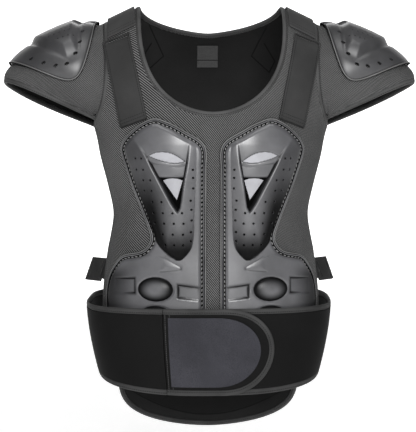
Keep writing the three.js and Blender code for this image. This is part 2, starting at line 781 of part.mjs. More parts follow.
// Shoulder cups, domed over the sleeve caps
const cupMiddle = 0.43;
const cupReach = 0.37; // share of the sleeve's length, from the cup's middle to its rim
const cupTurn = 58; // degrees round the shoulder, from the cup's middle to its rim
const cupSectors = 20;
const cupSeat = hardSeat + 5 * seatGap; // the cup bridges the tighter curve of the sleeve

function cupPlace(radius, angle, lift = cupSeat + cupWall / 2) {
  const share = cupMiddle + cupReach * radius * Math.cos(degToRad(angle));
  const turn = 90 + cupTurn * radius * Math.sin(degToRad(angle));
  const place = onSleeve(share, turn);
  return { point: raise(place, lift), normal: place.normal };
}

// The cup rises steeply from its rim to a rounded crest nearer the neck
function cupRelief(radius, angle) {
  const dome = (1 - radius ** cupFlatness) ** domeEdge;
  const lean = 1 - cupLean * radius * Math.cos(degToRad(angle));
  return cupHeight * dome * lean;
}

const cupSheet = discSheet(3, cupSectors, (radius, angle) => ({
  ...cupPlace(radius, angle),
  relief: cupRelief(radius, angle),
}));
const ventSides = 5;
const ventOutline = (radius, angle) =>
  Array.from({ length: ventSides }, (_, k) => {
    const place = cupPlace(radius, angle);
    const outward = cupPlace(radius + 0.02, angle).point.sub(cupPlace(radius - 0.02, angle).point);
    outward.normalize();
    const sideways = place.normal.clone().cross(outward);
    const at = (k / ventSides) * 2 * Math.PI;
    place.point
      .addScaledVector(outward, (Math.cos(at) * ventWidth) / 2)
      .addScaledVector(sideways, (Math.sin(at) * ventLength) / 2);
    return place;
  });
const cupVentCutters = cupVents.flatMap(({ turn }) =>
  [turn, -turn].map((angle) =>
    prismThrough(ventOutline(ventPlace, angle), -cupHeight, 2 * cupHeight),
  ),
);
addPair("shoulder_cup", cutBy(wallOf(cupSheet, -cupWall / 2, cupWall / 2), cupVentCutters), "armour_plastic");
const besideCord = seatGap + cordWidth / 2;
const cordLift = hardSeat + cordWidth / 2;
const cupRim = Array.from({ length: cupSectors }, (_, k) => cupPlace(1, (k / cupSectors) * 360, cupSeat + cordWidth / 2));
addPair(
  "cup_cord",
  tapeAlong(besidePath(cupRim, besideCord, true), cordWidth, cordWidth, 4, true),
  "edge_tape",
);

// Chest plates
const plateHalfStrip = centreStrip / 2;
const plateHeightAt = (drop) => -plateTopDrop - drop * plateLength;
const plateDropAt = (z) => (-z - plateTopDrop) / plateLength;
const reachAt = (share) => share * chestHalf;

function plateSpan(table, drop) {
  const outer = reachAt(along(table, drop, "outer"));
  const inner = along(table, drop, "inner");
  return table === plateOutline
    ? { outer, inner: lerp(plateHalfStrip, outer, inner) }
    : { outer, inner: reachAt(inner) };
}

// How far a place lies inside the pod's hollow, from 0 at its walls to 1 past a short slope
function hollowShare(x, drop) {
  const up = (hollowTip.drop - drop) / (hollowTip.drop - hollowCorners.drop);
  const left = reachAt(lerp(hollowTip.reach, hollowCorners.outer, up));
  const right = reachAt(lerp(hollowTip.reach, hollowCorners.inner, up));
  const inside = Math.min(left - x, x - right, reachAt(up * hollowTip.reach));
  return clamp(inside / hollowSlope, 0, 1);
}

function plateRelief(x, z) {
  const drop = plateDropAt(z);
  const { outer, inner } = plateSpan(podShape, drop);
  const middle = (outer + inner) / 2;
  const half = Math.max((outer - inner) / 2, 1);
  const away = Math.min(Math.abs(x - middle) / half, 1);
  const pod = podHeight * along(podShape, drop, "height") * (1 - away ** podFlatness) ** domeEdge;
  const deep = recessDepth * hollowShare(x, drop) * clamp(drop / hollowTip.drop, 0, 1);
  return Math.max(pod - deep, 0);
}

const longestRow = 0.1; // share of the plate's length past which a row is halved
const plateRows = [];
plateOutline.slice(1).forEach((row, i) => {
  const from = plateOutline[i].drop;
  const parts = row.drop - from > longestRow ? 2 : 1;
  for (let k = 0; k < parts; k++) plateRows.push(lerp(from, row.drop, k / parts));
});
plateRows.push(1);
const plateColumns = 7;
const plateSpread = 0.96 * chestHalf; // the columns are spaced as on a circle of this half width
const plateLift = hardSeat + plateWall / 2;
const plateSheet = gridSheet(plateColumns, plateRows.length - 1, (across, down) => {
  const drop = plateRows[Math.round(down * (plateRows.length - 1))];
  const { outer, inner } = plateSpan(plateOutline, drop);
  const from = Math.asin(inner / plateSpread);
  const x = plateSpread * Math.sin(lerp(from, Math.asin(outer / plateSpread), across));
  const z = plateHeightAt(drop);
  const place = onTorso(-1, x, z);
  return { point: raise(place, plateLift), normal: place.normal, relief: plateRelief(x, z) };
});

const plateOutlineOf = (corners) =>
  corners.map(({ drop, reach }) => onTorso(-1, reachAt(reach), plateHeightAt(drop)));

function drillCutter(drop, share) {
  const sides = 4;
  const middle = onTorso(-1, reachAt(share), plateHeightAt(drop));
  const across = new THREE.Vector3(1, 0, 0);
  const up = middle.normal.clone().cross(across).normalize();
  const outline = Array.from({ length: sides }, (_, k) => {
    const angle = (k / sides) * 2 * Math.PI;
    const point = middle.point
      .clone()
      .addScaledVector(across, (Math.cos(angle) * drillWidth) / 2)
      .addScaledVector(up, (Math.sin(angle) * drillWidth) / 2);
    return { point, normal: middle.normal };
  });
  return prismThrough(outline, 0, 3 * podHeight);
}

const drillCutters = drillRows.flatMap(({ drop, from, to, count }) =>
  Array.from({ length: count }, (_, k) => drillCutter(drop, count > 1 ? lerp(from, to, k / (count - 1)) : from)),
);

// A corner list drawn in towards its middle by a clearance, and lifted onto the plate's relief
function drawnTogether(outline, distance) {
  const middle = outline.reduce((sum, p) => sum.add(p.point), new THREE.Vector3());
  middle.divideScalar(outline.length);
  return outline.map((place) => {
    const inward = middle.clone().sub(place.point).normalize();
    const point = raise(place, plateRelief(place.point.x, place.point.z));
    return { point: point.addScaledVector(inward, distance), normal: place.normal };
  });
}

const windows = { upper: plateOutlineOf(upperWindow), lower: plateOutlineOf(lowerWindow) };
const windowCutters = Object.values(windows).map((outline) => prismThrough(outline, 0, 3 * podHeight));
const pocketFloor = hardSeat + plateWall - pocketDepth;
const pocketCutters = [sidePocket, innerPocket].map((corners) =>
  prismThrough(plateOutlineOf(corners), pocketFloor, pocketFloor + podHeight),
);

// An oval bump standing on the plate, its foot sunk into the wall
const bumpFoot = hardSeat + plateWall * 0.8;
function bumpOn({ drop, reach }, height) {
  const middle = { x: reachAt(reach), z: plateHeightAt(drop) };
  const sheet = discSheet(2, 12, (radius, angle) => {
    const x = middle.x + (Math.cos(degToRad(angle)) * radius * bumpWidth) / 2;
    const z = middle.z + (Math.sin(degToRad(angle)) * radius * bumpTall) / 2;
    return { ...onTorso(-1, x, z), dome: Math.sqrt(1 - radius ** 2) };
  });
  const top = sheet.places.map((p) => raise(p, bumpFoot + height * p.dome));
  const floor = sheet.places.map((p) => raise(p, bumpFoot - plateWall / 3));
  return closedBetween(sheet, top, floor);
}

let plateSolid = manifoldOf(wallOf(plateSheet, -plateWall / 2, plateWall / 2));
plateSolid = plateSolid.add(manifoldOf(bumpOn(bumpPlace, bumpHeight)));
plateSolid = plateSolid.add(manifoldOf(bumpOn(hiddenBumpPlace, hiddenBumpHeight)));
for (const cutter of [...drillCutters, ...windowCutters, ...pocketCutters]) {
  plateSolid = plateSolid.subtract(manifoldOf(cutter));
}
addPair("chest_plate", geometryOf(plateSolid), "armour_plastic");

const insertGap = 2 * seatGap;
for (const [name, outline] of Object.entries(windows)) {
  const drawn = drawnTogether(outline, insertGap);
  const insert = prismThrough(drawn, plateLift, plateLift + insertWall);
  addPair("chest_insert_" + name, insert, "pale_insert");
}

const rimRow = (r) => plateSheet.places.slice(r * (plateColumns + 1), (r + 1) * (plateColumns + 1));
// Along the straight inner edge the cord needs only every third place
const bendRows = 4; // the rows at the plate's upper corner
const isBend = (_, i, edge) => i % 3 === 1 || i >= edge.length - bendRows;
const plateRim = [
  ...rimRow(0),
  ...plateRows.slice(1, -1).map((_, i) => rimRow(i + 1)[plateColumns]),
  ...rimRow(plateRows.length - 1).reverse(),
  ...plateRows.slice(1, -1).map((_, i) => rimRow(plateRows.length - 2 - i)[0]).filter(isBend),
].map(({ point, normal }) => ({ point: point.clone().addScaledVector(normal, cordLift - plateLift), normal }));
addPair(
  "chest_cord",
  tapeAlong(besidePath(plateRim, -besideCord, true), cordWidth, cordWidth, 4, true),
  "edge_tape",
);

// Belt. turn is in degrees from the middle of the front towards the wearer's left; share runs from
// the upper edge to the lower one.
const beltStand = hardSeat + plateWall + hiddenBumpHeight + seatGap + beltWall / 2;
const beltBackStand = clothWall / 2 + seatGap + beltWall / 2;
const wingStand = beltWall + wingGap;
const turnStep = 9;
const underEnd = -67.8; // the rounded end of the inner wing
const bandSteps = 45; // from the inner wing's end round the back to the flap's seam
const seamTurn = underEnd + bandSteps * turnStep;
const flapEnd = 385.5;
const endRounding = 21; // degrees over which a wing's end rounds off
const wingClimb = { from: 256, to: 283 }; // where the outer wing rises over the inner one

function beltAt(share, turn) {
  const across = Math.sin(degToRad(turn));
  const ahead = Math.cos(degToRad(turn));
  const rise = beltBackRise * (1 - share) * smoothstep(-ahead, -0.6, 1);
  const z = rise - beltTopDrop - share * (beltHeight - beltSideRise * Math.abs(across) ** 3);
  const half = (beltWidth / 2) * (1 - beltTaper * share ** 1.6);
  const depth = ahead > 0 ? sectionDepth(0, z, -1) + beltStand : sectionDepth(0, z, 1) + beltBackStand;
  const spread = Math.abs(across) ** beltSquareness + Math.abs(ahead) ** beltSquareness;
  const reach = spread ** (-1 / beltSquareness);
  return new THREE.Vector3(half * across * reach, -depth * ahead * reach, z);
}

function onBelt(share, turn, lift = 0) {
  const step = 0.01;
  const down = beltAt(share + step, turn).sub(beltAt(share - step, turn));
  const round = beltAt(share, turn + 1).sub(beltAt(share, turn - 1));
  const normal = down.cross(round).normalize();
  const outer = wingStand * smoothstep(turn, wingClimb.from, wingClimb.to);
  return { point: beltAt(share, turn).addScaledVector(normal, outer + lift), normal };
}

// Half the share of the belt's height that is left at a rounded end
const leastHalf = 0.07;
const endHalf = (turn, end) => {
  const away = clamp(Math.abs(turn - end) / endRounding, 0, 1);
  return Math.max(Math.sqrt(1 - (1 - away) ** endSquareness) / 2, leastHalf);
};

const beltInset = (beltTape + seatGap) / beltHeight;
const leastInset = 0.04; // half share of the belt's height at the very end, within its tape
const beltSheet = (turns, rows, end) =>
  gridSheet(turns.length - 1, rows, (around, down) => {
    const turn = turns[Math.round(around * (turns.length - 1))];
    const half = Math.max(endHalf(turn, end) - beltInset, leastInset);
    return onBelt(lerp(0.5 - half, 0.5 + half, down), turn);
  });

const bandTurns = [];
for (let k = 0; k <= bandSteps; k++) {
  bandTurns.push(underEnd + k * turnStep);
}
const bandSheet = beltSheet(bandTurns, 2, underEnd);
addPiece("belt_band", wallOf(bandSheet, -beltWall / 2, beltWall / 2), "neoprene");

const seamSlit = 0.3; // degrees between the band and the flap
const roundShares = [0.4, 0.22, 0.1, 0.03, 0]; // places round the flap's end, as shares of its rounding
const flapTurns = [seamTurn + seamSlit];
for (let turn = seamTurn + turnStep; turn < flapEnd - endRounding / 2; turn += turnStep) {
  flapTurns.push(turn);
}
flapTurns.push(...roundShares.map((share) => flapEnd - share * endRounding));
const flapSheet = beltSheet(flapTurns, 4, flapEnd);
addPiece("belt_flap", wallOf(flapSheet, -beltWall / 2, -beltWall / 2 + flapWall), "neoprene");

const rowOf = (sheet, columns, r) => sheet.places.slice(r * (columns + 1), (r + 1) * (columns + 1));
const besideBelt = 1.5 * seatGap + beltTape / 2;
const bandTop = rowOf(bandSheet, bandTurns.length - 1, 0);
const bandFoot = rowOf(bandSheet, bandTurns.length - 1, 2);
addPiece("belt_binding_top", tapeAlong(besidePath(bandTop, -besideBelt), beltTape, beltWall), "edge_tape");
addPiece("belt_binding_foot", tapeAlong(besidePath(bandFoot, besideBelt), beltTape, beltWall), "edge_tape");
const flapEdge = [
  ...rowOf(flapSheet, flapTurns.length - 1, 0),
  ...[1, 2, 3].map((r) => rowOf(flapSheet, flapTurns.length - 1, r)[flapTurns.length - 1]),
  ...rowOf(flapSheet, flapTurns.length - 1, 4).reverse(),
];
addPiece(
  "flap_binding",
  tapeAlong(besidePath(liftedPath(flapEdge, (flapWall - beltWall) / 2), -besideBelt), beltTape, flapWall),
  "edge_tape",
);

// Hook panel on the flap, with a round end that follows the flap's
const patchBorder = 2.4; // degrees between the seam and the patch
const patchEnd = flapEnd - 1.6 * patchBorder;
const patchInset = (1.5 * (beltTape + 2 * seatGap)) / beltHeight;
const patchTurns = [
  seamTurn + patchBorder,
  ...flapTurns.slice(1).filter((turn) => turn < patchEnd - patchBorder),
  patchEnd,
];
const patchSheet = gridSheet(patchTurns.length - 1, 2, (around, down) => {
  const turn = patchTurns[Math.round(around * (patchTurns.length - 1))];
  const half = endHalf(turn + patchBorder / 2, flapEnd) - patchInset;
  return onBelt(lerp(0.5 - half, 0.5 + half, down), turn, -beltWall / 2 + flapWall);
});
addPiece("flap_patch", wallOf(patchSheet, seatGap, seatGap + patchWall), "flap_patch");

// Shoulder yokes: smooth panels over the seam, each with a loop at its front hem
const yokeInner = neckHalf + tapeSeat + seatGap;
const yokeOuter = shoulderHalf - tapeSeat - 2 * seatGap;
const strapWidth = yokeOuter - yokeInner; // the strap is as wide as its yoke
const yokeBackTurn = 44;
const yokeFrontTurn = -radToDeg(Math.acos(1 - yokeFrontDrop / shoulderRound));
const yokeSeat = hardSeat + seatGap;
const yokeSheet = gridSheet(2, 8, (across, over) => {
  const turn = lerp(yokeFrontTurn, yokeBackTurn, over);
  return overShoulder(lerp(yokeInner, yokeOuter, across), turn);
});
addPair("shoulder_yoke", wallOf(yokeSheet, yokeSeat, yokeSeat + yokeWall), "webbing");

// A place on the front beside a shoulder strap's middle line: across it, and down it from its top
const strapTopX = (neckHalf + shoulderHalf) / 2 + strapOffset;
const strapSeat = tapeWall / 2 + seatGap; // it crosses the bound edge
const strapStart = yokeFrontDrop + loopDrop - ridgeAt(strapTopX);
function beside(across, down) {
  const lean = degToRad(strapLean);
  const slant = degToRad(strapSlant);
  const x = strapTopX + across * Math.cos(slant) - down * Math.sin(lean);
  const z = -strapStart - across * Math.sin(slant) - down * Math.cos(lean);
  return onTorso(-1, x, z);
}

const loopFoot = loopSlot / 2 + loopBar;
const slotHalf = strapWidth / 2 - 3 * seatGap; // the strap bunches a little in its slot
const loopHalf = slotHalf + loopBar;
const ringMiddle = 4; // the middle one of a ring's nine quads
const loopSheet = gridSheet(3, 3, (across, down) => {
  const wide = [-loopHalf, -slotHalf, slotHalf, loopHalf][Math.round(3 * across)];
  const tall = [-loopFoot, -loopSlot / 2, loopSlot / 2, loopFoot][Math.round(3 * down)];
  return beside(wide, tall);
});
loopSheet.quads.splice(ringMiddle, 1);
addPair("strap_loop", wallOf(loopSheet, strapSeat, strapSeat + loopWall), "buckle_plastic");

// The strap lies on its hook patch and climbs over the loop's lower bar at its upper end
const hookEnd = 2.5; // the hook patch shows past the strap's end
const strapShares = [0.14, 0.32, 0.5, 0.67, 0.84]; // places down the strap
const strapRuns = strapShares.map((share) => share * strapLength);
const hookRuns = [loopFoot + 2 * seatGap, ...strapRuns, strapLength + hookEnd];
const hookSheet = gridSheet(2, hookRuns.length - 1, (across, down) => {
  const run = hookRuns[Math.round(down * (hookRuns.length - 1))];
  return beside(lerp(-strapWidth / 2, strapWidth / 2, across), run);
});
addPair("hook_patch", wallOf(hookSheet, strapSeat, strapSeat + hookWall), "webbing");
const strapLow = strapSeat + hookWall + seatGap;
const strapHigh = strapSeat + loopWall + seatGap;
const overLoopRuns = [loopSlot / 2, loopFoot, ...strapRuns, strapLength];
const strapSheet = gridSheet(2, overLoopRuns.length - 1, (across, down) => {
  const run = overLoopRuns[Math.round(down * (overLoopRuns.length - 1))];
  const climb = (strapHigh - strapLow) * (1 - smoothstep(run, loopFoot, 2 * loopFoot));
  return { ...beside(lerp(-strapWidth / 2, strapWidth / 2, across), run), relief: climb };
});
addPair("shoulder_strap", wallOf(strapSheet, strapLow, strapLow + strapWall), "webbing");

// Side straps: from inside the front panel's edge through a buckle to inside the back panel's
const webTuck = 14; // how far the straps reach inside the panels' edges

function sidePlan(z) {
  const lift = -tapeWall / 2 - 2 * seatGap - webWall / 2;
  const frontX = outlineAt(z, -1);
  const backX = outlineAt(z, 1);
  const inFront = onTorso(-1, drawnIn(frontX, z, -1, webTuck), z);
  const frontRim = onTorso(-1, frontX, z);
  const backRim = onTorso(1, backX, z);
  const inBack = onTorso(1, drawnIn(backX, z, 1, webTuck), z);
  return {
    start: raise(inFront, lift),
    frontRim: raise(frontRim, lift),
    backRim: raise(backRim, lift),
    end: raise(inBack, lift),
  };
}

function bucklePlace(alongRun, z) {
  const flare = degToRad(buckleFlare);
  const x = halfWidthAt(-buckleDrop) + buckleReach + alongRun * Math.sin(flare);
  const lean = buckleLean * (-buckleDrop - z);
  const y = alongRun * Math.cos(flare);
  return new THREE.Vector3(x + lean, y, z);
}

function webSheet(points, halves, drops) {
  return withNormals(
    gridSheet(points.length - 1, 1, (alongRun, down) => {
      const i = Math.round(alongRun * (points.length - 1));
      const z = -drops[i] + lerp(halves[i], -halves[i], down);
      return { point: points[i](z) };
    }),
  );
}

const atEdge = (key) => (z) => sidePlan(z)[key];
const frontEnd = -buckleLength / 2 - 2 * seatGap;
const backEnd = buckleLength / 2 + 2 * seatGap;
const frontWeb = webSheet(
  [atEdge("start"), atEdge("frontRim"), (z) => bucklePlace(frontEnd, z)],
  [tabWidth / 2, tabRimWidth / 2, webWidth / 2],
  [buckleDrop - tabRise, buckleDrop - tabRise, buckleDrop],
);
const backWeb = webSheet(
  [(z) => bucklePlace(backEnd, z), atEdge("backRim"), atEdge("end")],
  [webWidth / 2, webWidth / 2, webWidth / 2],
  [buckleDrop, buckleDrop, buckleDrop],
);
addPair("side_tab", wallOf(frontWeb, -webWall / 2, webWall / 2), "webbing");
addPair("side_web", wallOf(backWeb, -webWall / 2, webWall / 2), "webbing");

// Ladder buckle with two slots
const slotWidth = 4;
const buckleBars = [-buckleLength / 2, -buckleLength / 2 + loopBar, -buckleLength / 2 + loopBar + slotWidth];
const buckleStations = [...buckleBars, ...buckleBars.map((v) => -v).reverse()];
const webHalf = webWidth / 2 + seatGap;
const buckleSheet = withNormals(
  gridSheet(5, 3, (alongRun, down) => {
    const run = buckleStations[Math.round(5 * alongRun)];
    const tall = [buckleWidth / 2, webHalf, -webHalf, -buckleWidth / 2][Math.round(3 * down)];
    return { point: bucklePlace(run, -buckleDrop + tall) };
  }),
);
const buckleSlots = [6, 8]; // quads of the middle row that are left open
buckleSheet.quads = buckleSheet.quads.filter((_, i) => !buckleSlots.includes(i));
addPair("side_buckle", wallOf(buckleSheet, -buckleWall / 2, buckleWall / 2), "buckle_plastic");

// Bare neck labels inside the back, one below the other
const labelDrop = 9; // neckline down to the upper label
const labelBack = -clothWall / 2 - 4 * seatGap - labelWall;
const upperLabelTop = neckDropBack + tapeSeat + labelDrop;
const lowerLabelTop = upperLabelTop + labelHeight + 1;
for (const [name, top, height] of [
  ["neck_label_upper", upperLabelTop, labelHeight],
  ["neck_label_lower", lowerLabelTop, lowLabelHeight],
]) {
  const sheet = gridSheet(2, 1, (across, down) =>
    onTorso(1, lerp(-labelWidth / 2, labelWidth / 2, across), -top - down * height),
  );
  addPiece(name, wallOf(sheet, labelBack, labelBack + labelWall), "label");
}

export default vest;
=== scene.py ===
import math

import bpy
import numpy as np
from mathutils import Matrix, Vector


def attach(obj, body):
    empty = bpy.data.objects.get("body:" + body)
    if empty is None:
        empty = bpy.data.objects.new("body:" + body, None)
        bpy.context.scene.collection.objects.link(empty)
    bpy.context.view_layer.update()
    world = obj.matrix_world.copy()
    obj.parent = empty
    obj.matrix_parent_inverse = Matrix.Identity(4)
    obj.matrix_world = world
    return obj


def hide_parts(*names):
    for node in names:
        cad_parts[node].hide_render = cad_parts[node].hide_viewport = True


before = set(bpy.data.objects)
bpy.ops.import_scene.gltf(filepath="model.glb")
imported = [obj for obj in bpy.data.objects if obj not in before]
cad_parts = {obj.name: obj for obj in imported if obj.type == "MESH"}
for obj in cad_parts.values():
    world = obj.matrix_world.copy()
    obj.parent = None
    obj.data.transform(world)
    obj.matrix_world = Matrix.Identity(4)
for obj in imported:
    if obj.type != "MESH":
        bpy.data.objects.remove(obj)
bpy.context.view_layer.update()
bpy.ops.object.select_all(action="DESELECT")
mm = 0.001  # the sizes below are in millimetres

# camera, floor and light
view = {"aim": (-0.0030, 0.0, -0.3118), "distance": 2.6, "elevation": 3.0, "turn": 2.3, "lens": 144.4}


def placeCamera():
    turn, rise = math.radians(view["turn"]), math.radians(view["elevation"])
    ahead = Vector((math.sin(turn) * math.cos(rise), math.cos(turn) * math.cos(rise), -math.sin(rise)))
    bpy.ops.object.camera_add(location=Vector(view["aim"]) - ahead * view["distance"])
    camera = bpy.context.object
    camera.name = "studioCamera"
    camera.rotation_mode = "QUATERNION"
    camera.rotation_quaternion = ahead.to_track_quat("-Z", "Y")
    camera.data.lens = view["lens"]
    camera.data.clip_end = 100
    bpy.context.scene.camera = camera


studio = {
    "sky": 0.1, "floorDrop": 0.86, "floorRadius": 40, "floorGlow": 0.46,
    "wallPlace": (0, 4.6, 0.6), "wallSize": (8.6, 4.9), "wallGlow": 1.02, "lampAim": (0, 0, -0.3),
    "lamps": [  # name, place, size, power
        ("keyLamp", (0.1, -2.5, 0.45), (1.1, 1.0), 62),
        ("topLamp", (0.0, -0.5, 1.5), (1.6, 0.6), 12),
        ("backLamp", (0.0, 2.4, 1.1), (1.8, 1.0), 8),
    ],
}


def lightStudio():
    drop, radius = (0, 0, -studio["floorDrop"]), studio["floorRadius"]
    bpy.ops.mesh.primitive_circle_add(vertices=96, radius=radius, fill_type="NGON", location=drop)
    floor = bpy.context.object
    floor.name = "floor"
    bpy.ops.mesh.primitive_plane_add(size=1, location=studio["wallPlace"], rotation=(math.pi / 2, 0, 0))
    backWall = bpy.context.object
    backWall.name = "backWall"
    backWall.scale = (*studio["wallSize"], 1)
    bpy.ops.object.transform_apply(location=False, rotation=True, scale=True)
    world = bpy.data.worlds.new("studio")
    bpy.context.scene.world = world
    world.use_nodes = True
    sky = world.node_tree.nodes["Background"]
    sky.inputs["Color"].default_value = (1, 1, 1, 1)
    sky.inputs["Strength"].default_value = studio["sky"]
    for name, place, size, power in studio["lamps"]:
        bpy.ops.object.light_add(type="AREA", location=place)
        lamp = bpy.context.object
        lamp.name = name
        lamp.data.shape = "RECTANGLE"
        lamp.data.size, lamp.data.size_y = size
        lamp.data.energy = power
        lamp.rotation_mode = "QUATERNION"
        lamp.rotation_quaternion = (Vector(studio["lampAim"]) - Vector(place)).to_track_quat("-Z", "Y")
    bpy.context.scene.view_settings.view_transform = "Standard"
    return floor, backWall


placeCamera()
floor, backWall = lightStudio()
print("camera and lights stand")


# shader maths: a wrapped socket, and a tree that makes nodes
class Value:
    def __init__(self, tree, socket):
        self.tree, self.socket = tree, socket

    def join(self, operation, other=None, turned=False):
        pair = [self, other] if other is not None else [self]
        if turned:
            pair.reverse()
        return self.tree.node("ShaderNodeMath", {"operation": operation}, dict(enumerate(pair)))

    def __add__(self, other):
        return self.join("ADD", other)

    def __radd__(self, other):
        return self.join("ADD", other)

    def __sub__(self, other):
        return self.join("SUBTRACT", other)

    def __rsub__(self, other):
        return self.join("SUBTRACT", other, True)

    def __mul__(self, other):
        return self.join("MULTIPLY", other)

    def __rmul__(self, other):
        return self.join("MULTIPLY", other)

    def __truediv__(self, other):
        return self.join("DIVIDE", other)

    def sin(self):
        return self.join("SINE")

    def fraction(self):
        return self.join("FRACT")

    def size(self):
        return self.join("ABSOLUTE")

    def root(self):
        return self.join("SQRT")

    def above(self, other):
        return self.join("GREATER_THAN", other)

    def below(self, other):
        return self.join("LESS_THAN", other)

    def least(self, other):
        return self.join("MINIMUM", other)

    def most(self, other):
        return self.join("MAXIMUM", other)

    def ramp(self, low, high):  # 0 below low, 1 above high
        sockets = {"Value": self, "From Min": low, "From Max": high, "To Min": 0.0, "To Max": 1.0}
        return self.tree.node("ShaderNodeMapRange", {"interpolation_type": "SMOOTHSTEP"}, sockets)


class Finish:
    def __init__(self, name):
        self.material = bpy.data.materials.new(name)
        self.material.use_nodes = True
        self.nodes = self.material.node_tree.nodes
        self.links = self.material.node_tree.links
        self.shader = self.nodes["Principled BSDF"]

    def node(self, kind, settings=None, sockets=None, output=0):
        made = self.nodes.new(kind)
        for key, value in (settings or {}).items():
            setattr(made, key, value)
        for key, value in (sockets or {}).items():
            if isinstance(value, Value):
                self.links.new(value.socket, made.inputs[key])
            else:
                made.inputs[key].default_value = value
        return Value(self, made.outputs[output])

    def place(self, map=None):  # Object coordinates, or a named UV map, in metres
        if map is None:
            return self.node("ShaderNodeTexCoord", output="Object")
        return self.node("ShaderNodeUVMap", {"uv_map": map})

    def parts(self, vector):
        made = self.node("ShaderNodeSeparateXYZ", {}, {"Vector": vector})
        return [Value(self, made.socket.node.outputs[key]) for key in "XYZ"]

    def noise(self, vector, scale, detail=3.0, roughness=0.5):
        sockets = {"Vector": vector, "Scale": scale, "Detail": detail, "Roughness": roughness}
        return self.node("ShaderNodeTexNoise", {"noise_dimensions": "3D"}, sockets)

    def mix(self, share, low, high):
        return self.node("ShaderNodeMix", {"data_type": "RGBA"}, {0: share, 6: low, 7: high}, output=2)

    def bump(self, height, strength, distance):
        return self.node("ShaderNodeBump", {}, {"Height": height, "Strength": strength, "Distance": distance})

    def worn(self, low, high, scale, detail, roughness=0.5, tint=(1, 1, 1)):  # wear, and its grey
        wear = self.noise(self.place(), scale, detail, roughness)
        return wear, self.mix(wear.ramp(0.25, 0.8), grey(low, tint), grey(high, tint))

    def paintedShadeLayer(self, share, colour):  # a dull dark layer over part of the surface, for painted shade; on the plates it also blackens the stitch channel
        dull = self.nodes.new("ShaderNodeBsdfPrincipled")
        dull.inputs["Base Color"].default_value = colour
        dull.inputs["Roughness"].default_value = 0.95
        dull.inputs["Specular IOR Level"].default_value = 0.05
        layered = self.nodes.new("ShaderNodeMixShader")
        self.links.new(share.socket, layered.inputs[0])
        self.links.new(self.shader.outputs[0], layered.inputs[1])
        self.links.new(dull.outputs[0], layered.inputs[2])
        self.links.new(layered.outputs[0], self.nodes["Material Output"].inputs["Surface"])

    def set(self, **values):
        for key, value in values.items():
            socket = self.shader.inputs[key.replace("_", " ")]
            if isinstance(value, Value):
                self.links.new(value.socket, socket)
            else:
                socket.default_value = value
        return self.material


def grey(level, tint=(1, 1, 1)):  # an sRGB grey of 0 to 255, made linear
    linear = lambda v: v / 12.92 if v <= 0.04045 else ((v + 0.055) / 1.055) ** 2.4
    return tuple(linear(level * t / 255) for t in tint) + (1,)


def near(value, place, half):
    return (value - place).size().below(half)


# the torso's surface: drop from the neck as a share of the height, then half width, front and back
torso = {
    "height": 647, "half": 171, "front": 116, "back": 112, "squareness": 2.4,
    "neckHalf": 104, "shoulderHalf": 158, "shoulderDrop": 26, "roll": 110, "armpit": 178,
    "sections": [
        (0.0, 1.52, 0.8, 0.78), (0.093, 1.38, 0.88, 0.88), (0.185, 1.2, 0.95, 0.96),
        (0.275, 1.015, 1.0, 1.0), (0.343, 0.956, 1.01, 0.99), (0.411, 0.889, 0.985, 0.94),
        (0.47, 0.845, 0.955, 0.9), (0.516, 0.866, 0.94, 0.9), (0.558, 0.898, 0.94, 0.93),
        (0.655, 0.94, 0.96, 0.98), (0.773, 0.947, 0.97, 0.98), (1.0, 0.936, 0.97, 0.98),
    ],
}


def curveThrough(rows, column):  # a smooth curve through one column of a table
    places = np.array([row[0] for row in rows], float)
    values = np.array([row[column] for row in rows], float)
    slopes = np.gradient(values, places)
    slopes[1:-1] = (values[2:] - values[:-2]) / (places[2:] - places[:-2])

    def read(at):
        at = np.clip(at, places[0], places[-1])
        i = np.clip(np.searchsorted(places, at) - 1, 0, len(places) - 2)
        step = places[i + 1] - places[i]
        t = (at - places[i]) / step
        bend = t * (1 - t) * step * ((1 - t) * slopes[i] - t * slopes[i + 1])
        return values[i] + (values[i + 1] - values[i]) * t * t * (3 - 2 * t) + bend
    return read


def mixed(low, high, share):
    return low + (high - low) * share


def smoothed(value, low, high):
    t = np.clip((value - low) / (high - low), 0, 1)
    return t * t * (3 - 2 * t)


halfShare, frontShare, backShare = (curveThrough(torso["sections"], k) for k in (1, 2, 3))
ridgeSlope = torso["shoulderDrop"] / (torso["shoulderHalf"] - torso["neckHalf"])


def ridgeAt(x):  # the shoulder line's height, rounded across the neck
    reach, neck = np.abs(x), torso["neckHalf"]
    middle = ridgeSlope * neck / 2 * (1 - (reach / neck) ** 2)
    return np.where(reach > neck, -ridgeSlope * (reach - neck), middle)


def halfWidthAt(z):
    return torso["half"] * halfShare(-z / torso["height"])


def sectionDepth(x, z, face):
    drop, power = -z / torso["height"], torso["squareness"]
    depth = np.where(face < 0, torso["front"] * frontShare(drop), torso["back"] * backShare(drop))
    share = np.minimum(np.abs(x) / halfWidthAt(z), 0.9995)
    return depth * (1 - share ** power) ** (1 / power)


def torsoAt(x, turn):  # turn rolls over the shoulder: negative to the front, past 90 straight down
    roll = np.radians(np.minimum(np.abs(turn), 90))
    below = np.radians(np.maximum(np.abs(turn) - 90, 0))
    z = ridgeAt(x) - torso["roll"] * (1 - np.cos(roll) + below)
    y = np.sign(turn) * sectionDepth(x, z, turn) * np.sin(roll)
    return np.stack(np.broadcast_arrays(x, y, z), -1)


def turnAt(x, z, face):
    share = (ridgeAt(x) - z) / torso["roll"]
    inside = np.degrees(np.arccos(np.clip(1 - share, -1, 1)))
    return face * np.where(share > 1, 90 + np.degrees(share - 1), inside)


def unit(vectors):
    return vectors / np.maximum(np.linalg.norm(vectors, axis=-1, keepdims=True), 1e-9)


def runAt(points):  # the length along a path at each of its points
    return np.concatenate([[0], np.cumsum(np.linalg.norm(np.diff(points, axis=0), axis=1))])


def crossed(rows, columns):
    return np.meshgrid(rows, columns, indexing="ij")


